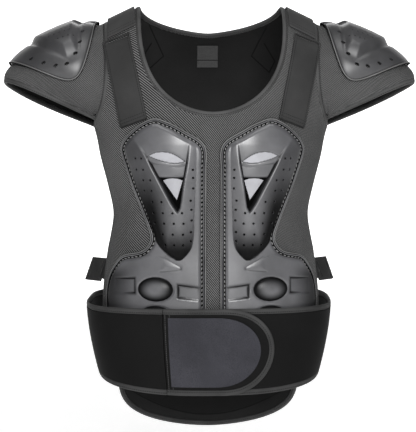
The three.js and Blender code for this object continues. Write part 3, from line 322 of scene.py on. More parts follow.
def placeOn(surface, a, b, step=0.5):  # points and outward normals
    along = surface(a + step, b) - surface(a - step, b)
    across = surface(a, b + step) - surface(a, b - step)
    return surface(a, b), unit(np.cross(along, across))


def onTorso(face, x, z):
    x, z = np.broadcast_arrays(np.asarray(x, float), np.asarray(z, float))
    return placeOn(torsoAt, x, turnAt(x, z, face))


# mesh makers
def surfaceLengths(points):  # a flat map of a grid, in metres, from its first row and column
    across = np.linalg.norm(np.diff(points, axis=1), axis=2)
    down = np.linalg.norm(np.diff(points, axis=0), axis=2)
    u = np.concatenate([np.zeros((len(points), 1)), np.cumsum(across, 1)], 1)
    v = np.concatenate([np.zeros((1, points.shape[1])), np.cumsum(down, 0)], 0)
    return np.stack([u, v], -1) * mm


def placesOf(mesh):
    flat = np.empty(len(mesh.vertices) * 3)
    mesh.vertices.foreach_get("co", flat)
    return flat.reshape(-1, 3)


def movePlaces(mesh, places):
    mesh.vertices.foreach_set("co", places.ravel())
    mesh.update()


def addMaps(mesh, maps):  # UV maps, each from a table with a row for every vertex
    corners = np.empty(len(mesh.loops), int)
    mesh.loops.foreach_get("vertex_index", corners)
    for key, table in maps.items():
        mesh.uv_layers.new(name=key).data.foreach_set("uv", table[corners].ravel())


def gridPiece(name, points, outward, maps):  # a plane grid laid over a table of places
    rows, columns = points.shape[0] - 1, points.shape[1] - 1
    bpy.ops.object.select_all(action="DESELECT")
    bpy.ops.mesh.primitive_grid_add(x_subdivisions=columns, y_subdivisions=rows, size=1)
    piece = bpy.context.object
    piece.name = piece.data.name = name
    mesh = piece.data
    at = placesOf(mesh) + 0.5
    c, r = np.rint(at[:, 0] * columns).astype(int), np.rint(at[:, 1] * rows).astype(int)
    movePlaces(mesh, points[r, c] * mm)
    for layer in list(mesh.uv_layers):
        mesh.uv_layers.remove(layer)
    addMaps(mesh, {key: table[r, c] for key, table in maps.items()})
    faces = [mesh.polygons[k] for k in range(0, len(mesh.polygons), 7)]  # enough to see which way it faces
    facing = sum(f.normal.dot(Vector(outward[r[f.vertices[0]], c[f.vertices[0]]])) for f in faces)
    if facing < 0:
        mesh.flip_normals()
    return piece


def use(piece):
    bpy.ops.object.select_all(action="DESELECT")
    bpy.context.view_layer.objects.active = piece
    piece.select_set(True)


def modify(piece, kind, **settings):  # add a modifier and apply it
    use(piece)
    modifier = piece.modifiers.new(kind.lower(), kind)
    for key, value in settings.items():
        setattr(modifier, key, value)
    bpy.ops.object.modifier_apply(modifier=modifier.name)


def wall(piece, thickness, lining=False):  # the inner face of a lined wall takes the second material
    while len(piece.data.materials) < 2:
        piece.data.materials.append(None)
    modify(piece, "SOLIDIFY", thickness=thickness * mm, offset=0, material_offset=int(lining),
           material_offset_rim=0)


def smooth(piece, angle):
    use(piece)
    bpy.ops.object.shade_smooth_by_angle(angle=math.radians(angle))


def dress(piece, nodes, slot, *materials):  # a finished piece rides on the body in its nodes' place
    while len(piece.data.materials) > len(materials):
        piece.data.materials.pop()
    while len(piece.data.materials) < len(materials):
        piece.data.materials.append(None)
    for k, material in enumerate(materials):
        piece.data.materials[k] = material
    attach(piece, "root")
    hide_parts(*nodes)


def mirrored(piece, name):  # the same piece for the wearer's other side
    twin = piece.copy()
    twin.data = piece.data.copy()
    twin.name = twin.data.name = name
    bpy.context.collection.objects.link(twin)
    twin.data.flip_normals()
    movePlaces(twin.data, placesOf(twin.data) * (-1, 1, 1))
    return twin


def both(piece, node, slot, *materials):  # dress a left piece and its mirror image
    dress(mirrored(piece, piece.name.replace("Left", "Right")), [node + "_right"], slot, *materials)
    dress(piece, [node + "_left"], slot, *materials)


def resampled(points, normals, step, closed=False):  # even steps along a path
    if closed:
        points, normals = np.vstack([points, points[:1]]), np.vstack([normals, normals[:1]])
    run = runAt(points)
    at = np.linspace(0, run[-1], max(int(run[-1] / step), 2) + 1)
    if closed:
        at = at[:-1]
    read = lambda table: np.stack([np.interp(at, run, table[:, k]) for k in range(3)], 1)
    return read(points), unit(read(normals))


def frames(points, normals, closed):  # the directions beside a path and up from it
    if closed:
        ahead = np.roll(points, -1, 0) - np.roll(points, 1, 0)
    else:
        ahead = np.gradient(points, axis=0)
    ahead = unit(ahead)
    across = unit(np.cross(ahead, normals))
    return across, unit(np.cross(across, ahead))


def evened(points, passes, closed=False):  # take small corners out of a path
    for _ in range(passes):
        if closed:
            points = (np.roll(points, 1, 0) + 2 * points + np.roll(points, -1, 0)) / 4
        else:
            points = points.copy()
            points[1:-1] = (points[:-2] + 2 * points[1:-1] + points[2:]) / 4
    return points


def besidePath(points, normals, distance, closed=False):  # a path moved sideways
    across, _ = frames(points, normals, closed)
    return points + across * distance


def sweep(name, points, normals, section, closed=False):  # a section of (across, up) run along a path
    across, up = frames(points, normals, closed)
    rings = points[:, None] + across[:, None] * section[None, :, :1] + up[:, None] * section[None, :, 1:]
    count, size = len(points), len(section)
    at = lambda r, k: (r % count) * size + k % size
    faces = [(at(r, k), at(r, k + 1), at(r + 1, k + 1), at(r + 1, k))
             for r in range(count if closed else count - 1) for k in range(size)]
    if not closed:
        faces += [tuple(range(size)), tuple(at(count - 1, k) for k in reversed(range(size)))]
    mesh = bpy.data.meshes.new(name)
    mesh.from_pydata([tuple(p) for p in rings.reshape(-1, 3) * mm], [], faces)
    map = np.stack(np.broadcast_arrays(runAt(points)[:, None], runAt(section)[None, :]), -1)
    addMaps(mesh, {"cloth": map.reshape(-1, 2) * mm})
    piece = bpy.data.objects.new(name, mesh)
    bpy.context.collection.objects.link(piece)
    use(piece)
    bpy.ops.object.mode_set(mode="EDIT")
    bpy.ops.mesh.select_all(action="SELECT")
    bpy.ops.mesh.normals_make_consistent(inside=False)
    bpy.ops.object.mode_set(mode="OBJECT")
    return piece


def roundSection(width, thickness, sides, squareness=2.6):  # a folded tape's section
    turns = np.radians(np.arange(sides) / sides * 360 + 180 / sides)
    reach = (np.abs(np.cos(turns)) ** squareness + np.abs(np.sin(turns)) ** squareness) ** (-1 / squareness)
    return np.stack([np.cos(turns) * reach * width / 2, np.sin(turns) * reach * thickness / 2], 1)


# front and back panels
panel = {
    "wall": 3, "seat": 0.4, "tape": 6.5, "tapeVisible": 7.6, "tapeWall": 4.6, "columns": 56, "step": 4.5,
    "ridgeGap": 0.0015,
    "edgeShare": 0.985, "frontLength": 505, "backWaist": 256, "waistDrop": 330,
    "tailWidth": 276, "tailStart": 560, "tailEase": 25, "beltDrop": 440,
    "neck": {"front": (157, 3, 1.9), "back": (34.5, 2, 1.4)},  # drop, then the curve's two powers
    "armhole": [(0.146, 1, 0), (0.35, 0.99, 0), (0.6, 0.99, 0), (0.8, 0.97, 0.5), (1, 0.985, 1)],
}
tapeSeat = panel["tape"] + panel["seat"]
besideEdge = panel["seat"] + panel["tape"] / 2
hardSeat = panel["wall"] / 2 + 2 * panel["seat"]
armholeReach, armholeBlend = (curveThrough(panel["armhole"], k) for k in (1, 2))


def outlineAt(z, face, inset=0):  # half the panel's width at each height
    armpit = torso["armpit"]
    over = mixed(torso["shoulderHalf"], halfWidthAt(np.full_like(z, -armpit)), armholeBlend(-z / armpit))
    over = over * armholeReach(-z / armpit)
    side = halfWidthAt(z) * panel["edgeShare"]
    if face > 0:
        waist = smoothed(-z, armpit, panel["waistDrop"])
        low = smoothed(-z, panel["beltDrop"] - panel["tailEase"], panel["beltDrop"] + panel["tailEase"])
        side = mixed(side, mixed(panel["backWaist"], panel["tailWidth"], low) / 2, waist)
        start = panel["tailStart"]
        fall = np.clip((-z - start) / (torso["height"] - inset - start), 0, 1)
        side = side * np.sqrt(1 - fall ** 3)
    return np.where(-z <= armpit, over, side)


def drawnIn(half, z, face, distance):  # in small steps over the section, which curves
    x, steps = half, 12
    for _ in range(steps):
        rise = (sectionDepth(x - 0.5, z, face) - sectionDepth(x, z, face)) / 0.5
        x = x - distance / steps / np.hypot(1, rise)
    return x


def neckline(side, step):  # even places down the half neckline, from its lowest point to the ridge
    drop, deep, rounding = panel["neck"][side]
    across = np.sin(np.linspace(0, np.pi / 2, 400))
    x = (torso["neckHalf"] + tapeSeat) * across
    z = -(drop + tapeSeat) * (1 - across ** rounding) ** (1 / deep)
    run = runAt(np.stack([x, z], 1))
    at = np.linspace(0, run[-1], int(run[-1] / step) + 1)
    return np.interp(at, run, x), np.interp(at, run, z)


def panelRows(side, step):  # height, or share of the way up from the armpit, and the neckline's reach
    armpit, rows = torso["armpit"], []
    if side == "back":
        tail = torso["height"] - tapeSeat - panel["tailStart"]
        rows += [(-panel["tailStart"] - tail * math.sin(math.radians(a)) ** (2 / 3), None, 0)
                 for a in (85, 80, 75, 70, 64, 58, 52, 46, 39, 32, 25, 18, 11, 5)]
    hem = panel["frontLength"] if side == "front" else panel["tailStart"]
    rows += [(-z, None, 0) for z in np.linspace(hem, armpit, int((hem - armpit) / step) + 1)[:-1]]
    neckX, neckZ = neckline(side, step)
    count = max(int((armpit + neckZ[0]) / step), 2)
    rows += [(None, (z + armpit) / (ridgeAt(0.0) + armpit), 0)
             for z in np.linspace(-armpit, neckZ[0], count + 1)[:-1]]
    rows += [(None, (z + armpit) / (ridgeAt(x) + armpit), x) for x, z in zip(neckX, neckZ)]
    return rows


def halfPanel(side, step, columns):  # places and normals of the left half
    face = -1 if side == "front" else 1
    rows = panelRows(side, step)
    flat = np.array([[row[0] is not None] for row in rows])
    level = np.array([[row[0] or 0.0] for row in rows])
    share = np.array([[row[1] or 0.0] for row in rows])
    inner = np.array([[row[2]] for row in rows], float)
    heightAt = lambda x: np.where(flat, level, mixed(-torso["armpit"], ridgeAt(x) - panel["ridgeGap"], share))
    outer = np.full(inner.shape, float(torso["shoulderHalf"]))
    for _ in range(10):
        z = heightAt(outer)
        outer = drawnIn(outlineAt(z, face, tapeSeat), z, face, tapeSeat)
    wide = halfWidthAt(heightAt(outer)) * 1.02
    spread = np.linspace(0, 1, columns + 1)[None]
    x = wide * np.sin(mixed(np.arcsin(inner / wide), np.arcsin(outer / wide), spread))
    z = heightAt(x)
    return x, z, onTorso(face, x, z)


def clothMap(x, z, face):  # a flat map of the torso, in metres: round it, and down it from the ridge
    steps = np.linspace(0, 1, 25)[:, None, None]
    line = x[None] * steps
    depth = sectionDepth(line, z[None] + 0 * line, face)
    u = np.hypot(np.diff(line, axis=0), np.diff(depth, axis=0)).sum(0)
    v = np.radians(np.abs(turnAt(x, z, face))) * torso["roll"]
    return np.stack([u, v], -1) * mm


def wholePanel(name, side):
    face = -1 if side == "front" else 1
    x, z, (points, normals) = halfPanel(side, panel["step"], panel["columns"])
    points = points.copy()
    points[np.abs(x) < 1e-6, 0] = 0
    piece = gridPiece(name, points, normals, {"cloth": clothMap(x, z, face)})
    modify(piece, "MIRROR", use_axis=(True, False, False), use_mirror_merge=True, merge_threshold=1e-5)
    mesh = piece.data  # the ribs run one way over both halves
    for polygon in mesh.polygons:
        if polygon.center.x > 0:
            for k in polygon.loop_indices:
                mesh.uv_layers["cloth"].uv[k].vector.x *= -1
    wall(piece, panel["wall"], lining=True)
    smooth(piece, 50)
    return piece


def flipped(places):
    points, normals = places
    return points * (-1, 1, 1), normals * (-1, 1, 1)


def joined(*places):
    return tuple(np.concatenate([p[k] for p in places]) for k in (0, 1))


def reversedPath(places):
    return places[0][::-1], places[1][::-1]


def part(places, rows):
    return places[0][rows], places[1][rows]


def neckPath(half):  # from the neckline's lowest point to the ridge
    path = part(half, (slice(None), 0))
    return part(path, slice(int(np.flatnonzero(path[0][:, 0] < 0.01)[-1]), None))


frontHalf, backHalf = halfPanel("front", 3, 8)[2], halfPanel("back", 3, 8)[2]
neckFront, neckBack = neckPath(frontHalf), neckPath(backHalf)
halfNeck = joined(neckFront, reversedPath(part(neckBack, slice(0, -1))))
neckLoop = joined(halfNeck, flipped(reversedPath(part(halfNeck, slice(1, -1)))))
backEdge = part(backHalf, (slice(None), -1))
tailMiddle = onTorso(1, [-0.4], [backEdge[0][0, 2]])
sideEdge = joined(part(frontHalf, (slice(None), -1)), reversedPath(part(backEdge, slice(0, -1))), tailMiddle)

frontPanel = wholePanel("frontPanel", "front")
backPanel = wholePanel("backPanel", "back")
print("panels", len(frontPanel.data.vertices), len(backPanel.data.vertices))


# bound edges
def tape(name, places, distance, width, thickness, step=3, closed=False, sides=14):
    points, normals = resampled(*places, step, closed)
    points = besidePath(evened(points, 2, closed), normals, distance, closed)
    piece = sweep(name, evened(points, 2, closed), normals, roundSection(width, thickness, sides), closed)
    smooth(piece, 60)
    return piece


neckBinding = tape("neckBinding", neckLoop, -besideEdge, panel["tapeVisible"], panel["tapeWall"], closed=True)
edgeBinding = tape("edgeBindingLeft", sideEdge, besideEdge, panel["tapeVisible"], panel["tapeWall"])

# sleeve caps, from the armhole to the cuff; turn runs from 0 in front of the armpit over the shoulder to 180
sleeve = {
    "reach": 133, "clear": -5.5, "lift": 72, "depth": 29, "bulge": 80, "drop": 27, "dropInside": 0.35,
    "rise": 8, "start": 0.3, "columns": 120, "rows": 40,
    "leave": (0.93, 0.15, 0.4, 0.35), "arrive": (-0.1, 0.3, 0.5, 0.95, 0.2),  # directions, then how far
}
armholePath = besidePath(*sideEdge, besideEdge + panel["tape"] / 2 + 2 * panel["seat"])
armholePath = armholePath[armholePath[:, 2] > -torso["armpit"] + 3 * panel["tape"]]
armholeRun = runAt(armholePath)
armholeTurn = 180 * armholeRun / armholeRun[-1]


def armholePlace(turn):
    return np.stack([np.interp(turn, armholeTurn, armholePath[:, k]) for k in range(3)], -1)


def cuffPlace(turn):
    across, ahead = np.sin(np.radians(turn)), np.cos(np.radians(turn))
    behind = np.sin(np.radians(turn / 2)) ** 2
    fall = sleeve["drop"] * behind * mixed(sleeve["dropInside"], 1, across)
    return np.stack([
        mixed(torso["half"] + sleeve["clear"], torso["half"] + sleeve["reach"], across),
        -ahead * (sleeve["depth"] + sleeve["bulge"] * across),
        -torso["armpit"] + sleeve["rise"] + sleeve["lift"] * across - fall,
    ], -1)


def sleeveAt(share, turn):
    share, turn = np.broadcast_arrays(np.asarray(share, float), np.asarray(turn, float))
    start, end = armholePlace(turn), cuffPlace(turn)
    length = np.linalg.norm(end - start, axis=-1, keepdims=True)
    across, ahead = np.sin(np.radians(turn)), np.cos(np.radians(turn))
    out, apart, fall, pull = sleeve["leave"]
    leave = unit(np.stack([out + 0 * across, -apart * ahead, -fall * across ** 2], -1))
    under, over, spread, rise, push = sleeve["arrive"]
    arrive = unit(np.stack([mixed(under, over, across), -spread * ahead, rise + 0 * across], -1))
    second, third = start + leave * pull * length, end + arrive * push * length
    t = share[..., None]
    return (start * (1 - t) ** 3 + 3 * second * t * (1 - t) ** 2 + 3 * third * t * t * (1 - t) + end * t ** 3)


def onSleeve(share, turn):
    alongShare = sleeveAt(share + 0.002, turn) - sleeveAt(share - 0.002, turn)
    alongTurn = sleeveAt(share, turn + 0.4) - sleeveAt(share, turn - 0.4)
    return sleeveAt(share, turn), unit(np.cross(alongShare, alongTurn))


def sleeveGrid(columns, rows):
    turns = np.linspace(0, 180, columns + 1)[None]
    length = np.linalg.norm(cuffPlace(turns) - armholePlace(turns), axis=-1)
    out = np.linspace(0, 1, rows + 1)[:, None]
    share = mixed(sleeve["start"], length - tapeSeat, out) / length
    places = onSleeve(share, turns + 0 * share)
    map = surfaceLengths(places[0])
    return places, map - map[:, columns // 2, None] * (1, 0)


sleevePlaces, sleeveMap = sleeveGrid(sleeve["columns"], sleeve["rows"])
sleeveLeft = gridPiece("sleeveLeft", *sleevePlaces, {"cloth": sleeveMap})
wall(sleeveLeft, panel["wall"], lining=True)
smooth(sleeveLeft, 50)
cuffEdge = part(sleevePlaces, -1)
cuffBinding = tape("cuffBindingLeft", cuffEdge, besideEdge, panel["tapeVisible"], panel["tapeWall"])
print("sleeves", len(sleeveLeft.data.vertices))


# belt: turn is in degrees from the middle of the front towards the wearer's left
belt = {
    "drop": 440, "height": 123, "width": 357, "taper": 0.1, "sideRise": 24, "backRise": 14, "wall": 4,
    "squareness": 2.8, "frontStand": 9.8, "backStand": 3.9, "wingStand": 4.95, "climb": (256, 283),
    "tape": 7, "tapeVisible": 8.3, "flapWall": 3, "patchWall": 1.2, "border": 2.4, "rows": 24,
    "underEnd": -67.8, "seam": 337.2, "seamGap": 0.3, "flapEnd": 385.5,
    "rounding": 21, "endPower": 2.4, "leastInset": 0.03, "tip": 4.5, "degree": 2.75,
}
besideBelt = 1.5 * panel["seat"] + belt["tape"] / 2


def beltAt(share, turn):
    across, ahead = np.sin(np.radians(turn)), np.cos(np.radians(turn))
    rise = belt["backRise"] * (1 - share) * smoothed(-ahead, -0.6, 1)
    z = rise - belt["drop"] - share * (belt["height"] - belt["sideRise"] * np.abs(across) ** 3)
    half = belt["width"] / 2 * (1 - belt["taper"] * np.maximum(share, 0) ** 1.6)
    middle = np.zeros_like(z)
    depth = np.where(ahead > 0, sectionDepth(middle, z, -1) + belt["frontStand"],
                     sectionDepth(middle, z, 1) + belt["backStand"])
    power = belt["squareness"]
    reach = (np.abs(across) ** power + np.abs(ahead) ** power) ** (-1 / power)
    return np.stack(np.broadcast_arrays(half * across * reach, -depth * ahead * reach, z), -1)


def onBelt(share, turn, lift=0.0):
    share, turn = np.broadcast_arrays(np.asarray(share, float), np.asarray(turn, float))
    normal = unit(np.cross(beltAt(share + 0.01, turn) - beltAt(share - 0.01, turn),
                           beltAt(share, turn + 1) - beltAt(share, turn - 1)))
    outer = belt["wingStand"] * smoothed(turn, *belt["climb"])
    return beltAt(share, turn) + normal * (outer + lift)[..., None], normal


def endHalf(turn, end):  # half the share of the belt's height that is left at a rounded end
    away = np.clip(np.abs(turn - end) / belt["rounding"], 0, 1)
    return np.sqrt(1 - (1 - away) ** belt["endPower"]) / 2


def beltGrid(turns, rows, end, inset, lift=0.0):
    half = np.maximum(endHalf(turns, end) * (1 - 2 * inset), belt["leastInset"])
    share = mixed(0.5 - half[None], 0.5 + half[None], np.linspace(0, 1, rows + 1)[:, None])
    places = onBelt(share, turns[None], lift)
    map = np.stack(np.broadcast_arrays(turns[None] * belt["degree"], share * belt["height"]), -1) * mm
    return places, map


beltInset = (belt["tape"] + panel["seat"]) / belt["height"]
tipTurns = belt["rounding"] * np.linspace(0, 0.4, 12) ** 2


def turnsTo(start, end, count):  # even turns, then close ones round the tip
    return np.concatenate([np.linspace(start, end - belt["tip"], count), end - tipTurns[::-1]])


bandTurns = np.concatenate([
    belt["underEnd"] + tipTurns,
    np.linspace(belt["underEnd"] + belt["tip"], belt["seam"], 271),
])
bandGrid, bandMap = beltGrid(bandTurns, belt["rows"], belt["underEnd"], beltInset)
beltBand = gridPiece("beltBand", *bandGrid, {"cloth": bandMap})
wall(beltBand, belt["wall"], lining=True)
smooth(beltBand, 50)
flapTurns = turnsTo(belt["seam"] + belt["seamGap"], belt["flapEnd"], 40)
flapLift = (belt["flapWall"] - belt["wall"]) / 2
flapGrid, flapMap = beltGrid(flapTurns, belt["rows"], belt["flapEnd"], beltInset)
beltFlap = gridPiece("beltFlap", flapGrid[0] + flapGrid[1] * flapLift, flapGrid[1], {"cloth": flapMap})
wall(beltFlap, belt["flapWall"], lining=True)
smooth(beltFlap, 50)
bandTop, bandFoot = part(bandGrid, 0), part(bandGrid, -1)
beltBindingTop = tape("beltBindingTop", bandTop, -besideBelt, belt["tapeVisible"], belt["wall"])
beltBindingFoot = tape("beltBindingFoot", bandFoot, besideBelt, belt["tapeVisible"], belt["wall"])
flapEdge = joined(part(flapGrid, 0), part(flapGrid, (slice(1, -1), -1)), reversedPath(part(flapGrid, -1)))
flapEdge = (flapEdge[0] + flapEdge[1] * flapLift, flapEdge[1])
flapBinding = tape("flapBinding", flapEdge, -besideBelt, belt["tapeVisible"], belt["flapWall"], step=2)
patchEnd = belt["flapEnd"] - 1.6 * belt["border"]
patchInset = 1.5 * (belt["tape"] + 2 * panel["seat"]) / belt["height"]
patchTurns = turnsTo(belt["seam"] + belt["border"], patchEnd, 36)
patchLift = -belt["wall"] / 2 + belt["flapWall"] + panel["seat"] + belt["patchWall"] / 2
patchGrid, patchMap = beltGrid(patchTurns, belt["rows"], patchEnd, patchInset, patchLift)
flapPatch = gridPiece("flapPatch", *patchGrid, {"cloth": patchMap})
wall(flapPatch, belt["patchWall"])
smooth(flapPatch, 50)
print("belt", len(beltBand.data.vertices), len(beltFlap.data.vertices))


# distances on the plates' plan, in millimetres
def segmentDistance(points, start, end):
    along = end - start
    t = np.clip(((points - start) @ along) / max(along @ along, 1e-9), 0, 1)
    return np.linalg.norm(points - (start + t[..., None] * along), axis=-1)


def lineDistance(points, line, closed=False):
    line = np.asarray(line, float)
    ends = np.roll(line, -1, 0) if closed else line[1:]
    return np.minimum.reduce([segmentDistance(points, a, b) for a, b in zip(line, ends)])


def insideDistance(points, polygon):  # positive inside a closed outline, negative outside
    polygon = np.asarray(polygon, float)
    inside = np.zeros(points.shape[:-1], bool)
    for a, b in zip(polygon, np.roll(polygon, -1, 0)):
        if a[1] == b[1]:
            continue
        crossing = (a[1] > points[..., 1]) != (b[1] > points[..., 1])
        at = (b[0] - a[0]) * (points[..., 1] - a[1]) / (b[1] - a[1]) + a[0]
        inside ^= crossing & (points[..., 0] < at)
    distance = lineDistance(points, polygon, True)
    return np.where(inside, distance, -distance)


# chest plates; a place's drop is a share of the plate's length, its reach of the chest's half width
plate = {
    "top": 169, "length": 301, "wall": 2.5, "strip": 13, "columns": 124, "rows": 230, "spread": 0.96,
    "outline": [  # drop, outer reach, and the inner edge's share of the way from the strip to it
        (0, 0.51, 0.87), (0.025, 0.595, 0.53), (0.06, 0.67, 0.28), (0.1, 0.73, 0.07), (0.14, 0.748, 0),
        (0.215, 0.71, 0), (0.32, 0.648, 0), (0.405, 0.59, 0), (0.485, 0.538, 0), (0.56, 0.5, 0),
        (0.605, 0.525, 0), (0.64, 0.6, 0), (0.655, 0.72, 0), (0.69, 0.785, 0), (0.77, 0.852, 0),
        (0.87, 0.872, 0), (1, 0.855, 0),
    ],
    "pod": [  # drop, outer and inner reach, share of the height
        (0.0, 0.6, 0.28, 0), (0.05, 0.66, 0.21, 0.2), (0.12, 0.72, 0.15, 0.5), (0.215, 0.685, 0.145, 0.78),
        (0.31, 0.63, 0.15, 0.92), (0.45, 0.55, 0.16, 1), (0.55, 0.49, 0.165, 0.97), (0.61, 0.425, 0.185, 0.8),
        (0.65, 0.345, 0.235, 0.45), (0.668, 0.3, 0.27, 0),
    ],
    "podHeight": 12, "podFlatness": 2.5, "edgePower": 0.8,
    "flange": 6.2, "shoulder": 3.4, "shoulderHeight": 2.0, "channel": (0.8, 5.6), "channelDepth": 1.1,
    "hollow": [  # drop and reach, as in the lines and corners below
        (-0.2, 0.8), (0.083, 0.645), (0.168, 0.545), (0.277, 0.442), (0.395, 0.335), (0.428, 0.3),
        (0.436, 0.287), (0.43, 0.275), (0.41, 0.258), (0.281, 0.23), (0.201, 0.207), (0.107, 0.19),
        (-0.2, 0.16),
    ],
    "hollowDepth": [  # drop, depth
        (0.08, 0), (0.115, 0.9), (0.16, 2.6), (0.198, 4.0), (0.205, 5.6), (0.255, 6.0), (0.262, 6.2),
        (0.268, 9.4), (0.4, 9.4), (0.436, 8.0),
    ],
    "lipAt": [(0.176, 0.525), (0.193, 0.46), (0.207, 0.37), (0.208, 0.29), (0.2, 0.215)],
    "wallWidth": 3.2, "lipWidth": 2.4, "lipHeight": 1.7,
    "insertSink": 1.5, "insertShade": 0.7, "insertWall": 0.8, "insertFit": 0.97,
    "upperInsert": ([(0.166, 0.522), (0.152, 0.468), (0.148, 0.4), (0.16, 0.32), (0.193, 0.232)],
                    [(0.166, 0.522), (0.183, 0.45), (0.197, 0.36), (0.2, 0.29), (0.193, 0.232)]),
    "lowerInsert": ([(0.281, 0.412), (0.273, 0.376), (0.27, 0.33), (0.274, 0.286), (0.282, 0.25)],
                    [(0.374, 0.301), (0.376, 0.299), (0.377, 0.2975), (0.376, 0.296), (0.374, 0.294)]),
    "mark": [(0.646, 0.432), (0.697, 0.279), (0.706, 0.27), (0.715, 0.28), (0.724, 0.435)],
    "markRise": 0.7, "grooveDepth": 0.6, "grooveWidth": 1.1,
    "sidePocket": [(0.759, 0.802), (0.752, 0.633), (0.833, 0.63), (0.84, 0.803)],
    "innerPocket": [(0.779, 0.301), (0.794, 0.113), (0.863, 0.114), (0.85, 0.298)],
    "pocketDepth": 3.0, "bumps": [(0.808, 0.472, 5.2), (0.943, 0.472, 3.0)], "bumpHalf": (23, 16.2),
    "drillWidth": 3.5, "drillDepth": 30, "drillLift": 10,
    "drills": [  # drop, from, to, count
        (0.177, 0.618, 0.571, 2), (0.228, 0.607, 0.553, 2), (0.277, 0.55, 0.494, 2), (0.328, 0.539, 0.483, 2),
        (0.379, 0.475, 0.404, 2), (0.434, 0.464, 0.249, 4), (0.486, 0.456, 0.238, 4), (0.54, 0.396, 0.243, 3),
        (0.593, 0.379, 0.243, 3),
        (0.231, 0.169, 0.169, 1), (0.269, 0.167, 0.167, 1), (0.319, 0.165, 0.165, 1),
        (0.376, 0.185, 0.185, 1), (0.42, 0.179, 0.179, 1), (0.472, 0.177, 0.177, 1),
        (0.529, 0.183, 0.183, 1), (0.574, 0.184, 0.184, 1),
    ],
}
plateOuter, plateInner = (curveThrough(plate["outline"], k) for k in (1, 2))
podOuter, podInner, podTall = (curveThrough(plate["pod"], k) for k in (1, 2, 3))
plateFace = hardSeat + plate["wall"]


def onPlate(places):  # (drop, reach) shares as (x, z) millimetres
    places = np.asarray(places, float)
    return np.stack([places[..., 1] * torso["half"], -plate["top"] - places[..., 0] * plate["length"]], -1)


def smoothLine(places, count):  # a curve through a few places
    places = np.asarray(places, float)
    rows = [(k, *p) for k, p in enumerate(places)]
    at = np.linspace(0, len(places) - 1, count)
    return np.stack([curveThrough(rows, k)(at) for k in (1, 2)], -1)


def podShape(x, drop):  # height, place across it from -1 to 1, and how surely on it
    outer, inner = podOuter(drop) * torso["half"], podInner(drop) * torso["half"]
    side = (x - (outer + inner) / 2) / np.maximum((outer - inner) / 2, 1)
    away, foot = np.minimum(np.abs(side), 1), plate["pod"][-1][0]
    tall = plate["podHeight"] * podTall(drop) * (1 - away ** plate["podFlatness"]) ** plate["edgePower"]
    return np.where(drop > foot, 0, tall), side, smoothed(1 - away, 0, 0.08) * (drop < foot)


def hollowShape(spot, drop):  # distance inside the V-shaped hollow, its depth, its lip, and the painted shade in its deep parts and on its walls
    inside = insideDistance(spot, onPlate(plate["hollow"]))
    deep = np.interp(drop, *np.transpose(plate["hollowDepth"]))
    sink = deep * smoothed(inside, -0.4, plate["wallWidth"])
    lip = lineDistance(spot, onPlate(smoothLine(plate["lipAt"], 24)))
    lipShare = np.clip(1 - (lip / plate["lipWidth"]) ** 2, 0, 1) * smoothed(inside, 0, 3)
    band = smoothed(inside, -0.2, 0.8) * (1 - smoothed(inside, 2.4, 4.2))
    # painted shade: the hollow's deep parts and its steep walls are darkened
    dark = np.maximum(smoothed(sink, 6.4, 8.6), 0.92 * band * smoothed(deep, 0.6, 4.5))
    return inside, sink, plate["lipHeight"] * lipShare, dark


def pocketShape(x, z, corners, outward):  # depth of a shallow pocket, and painted shade along its rim
    within = insideDistance(np.stack([x, z], -1), corners)
    across = np.clip((x - corners[:, 0].min()) / np.ptp(corners[:, 0]), 0, 1)
    down = np.clip((corners[:, 1].max() - z) / np.ptp(corners[:, 1]), 0, 1)
    tilt = across if outward else 1 - across
    sink = plate["pocketDepth"] * smoothed(within, -0.3, 1.5) * (0.45 + 0.75 * tilt) * (1.1 - 0.5 * down)
    # painted shade along the rim, darkest at the pocket's top and at its deep side
    rim = np.exp(-((within - 1.4) / 2.1) ** 2)
    return sink, rim * np.clip(0.3 + 0.9 * tilt ** 2 + 0.9 * (1 - down) ** 3, 0, 0.99)


def bumpShape(x, z, place, tall):  # height of an oval bump in its groove, and painted shade round it
    middle, (wide, high) = onPlate(place), plate["bumpHalf"]
    radius = np.hypot((x - middle[0]) / wide, (z - middle[1]) / high)
    groove = np.exp(-((radius - 1.06) / 0.07) ** 2)
    # painted shade on the bump's sides and in its groove, leaving its middle light
    dark = 0.97 * smoothed(radius, 0.2, 0.95) * (1 - smoothed(radius, 1.0, 1.1))
    return tall * np.sqrt(np.clip(1 - radius ** 2, 0, 1)) - groove, dark


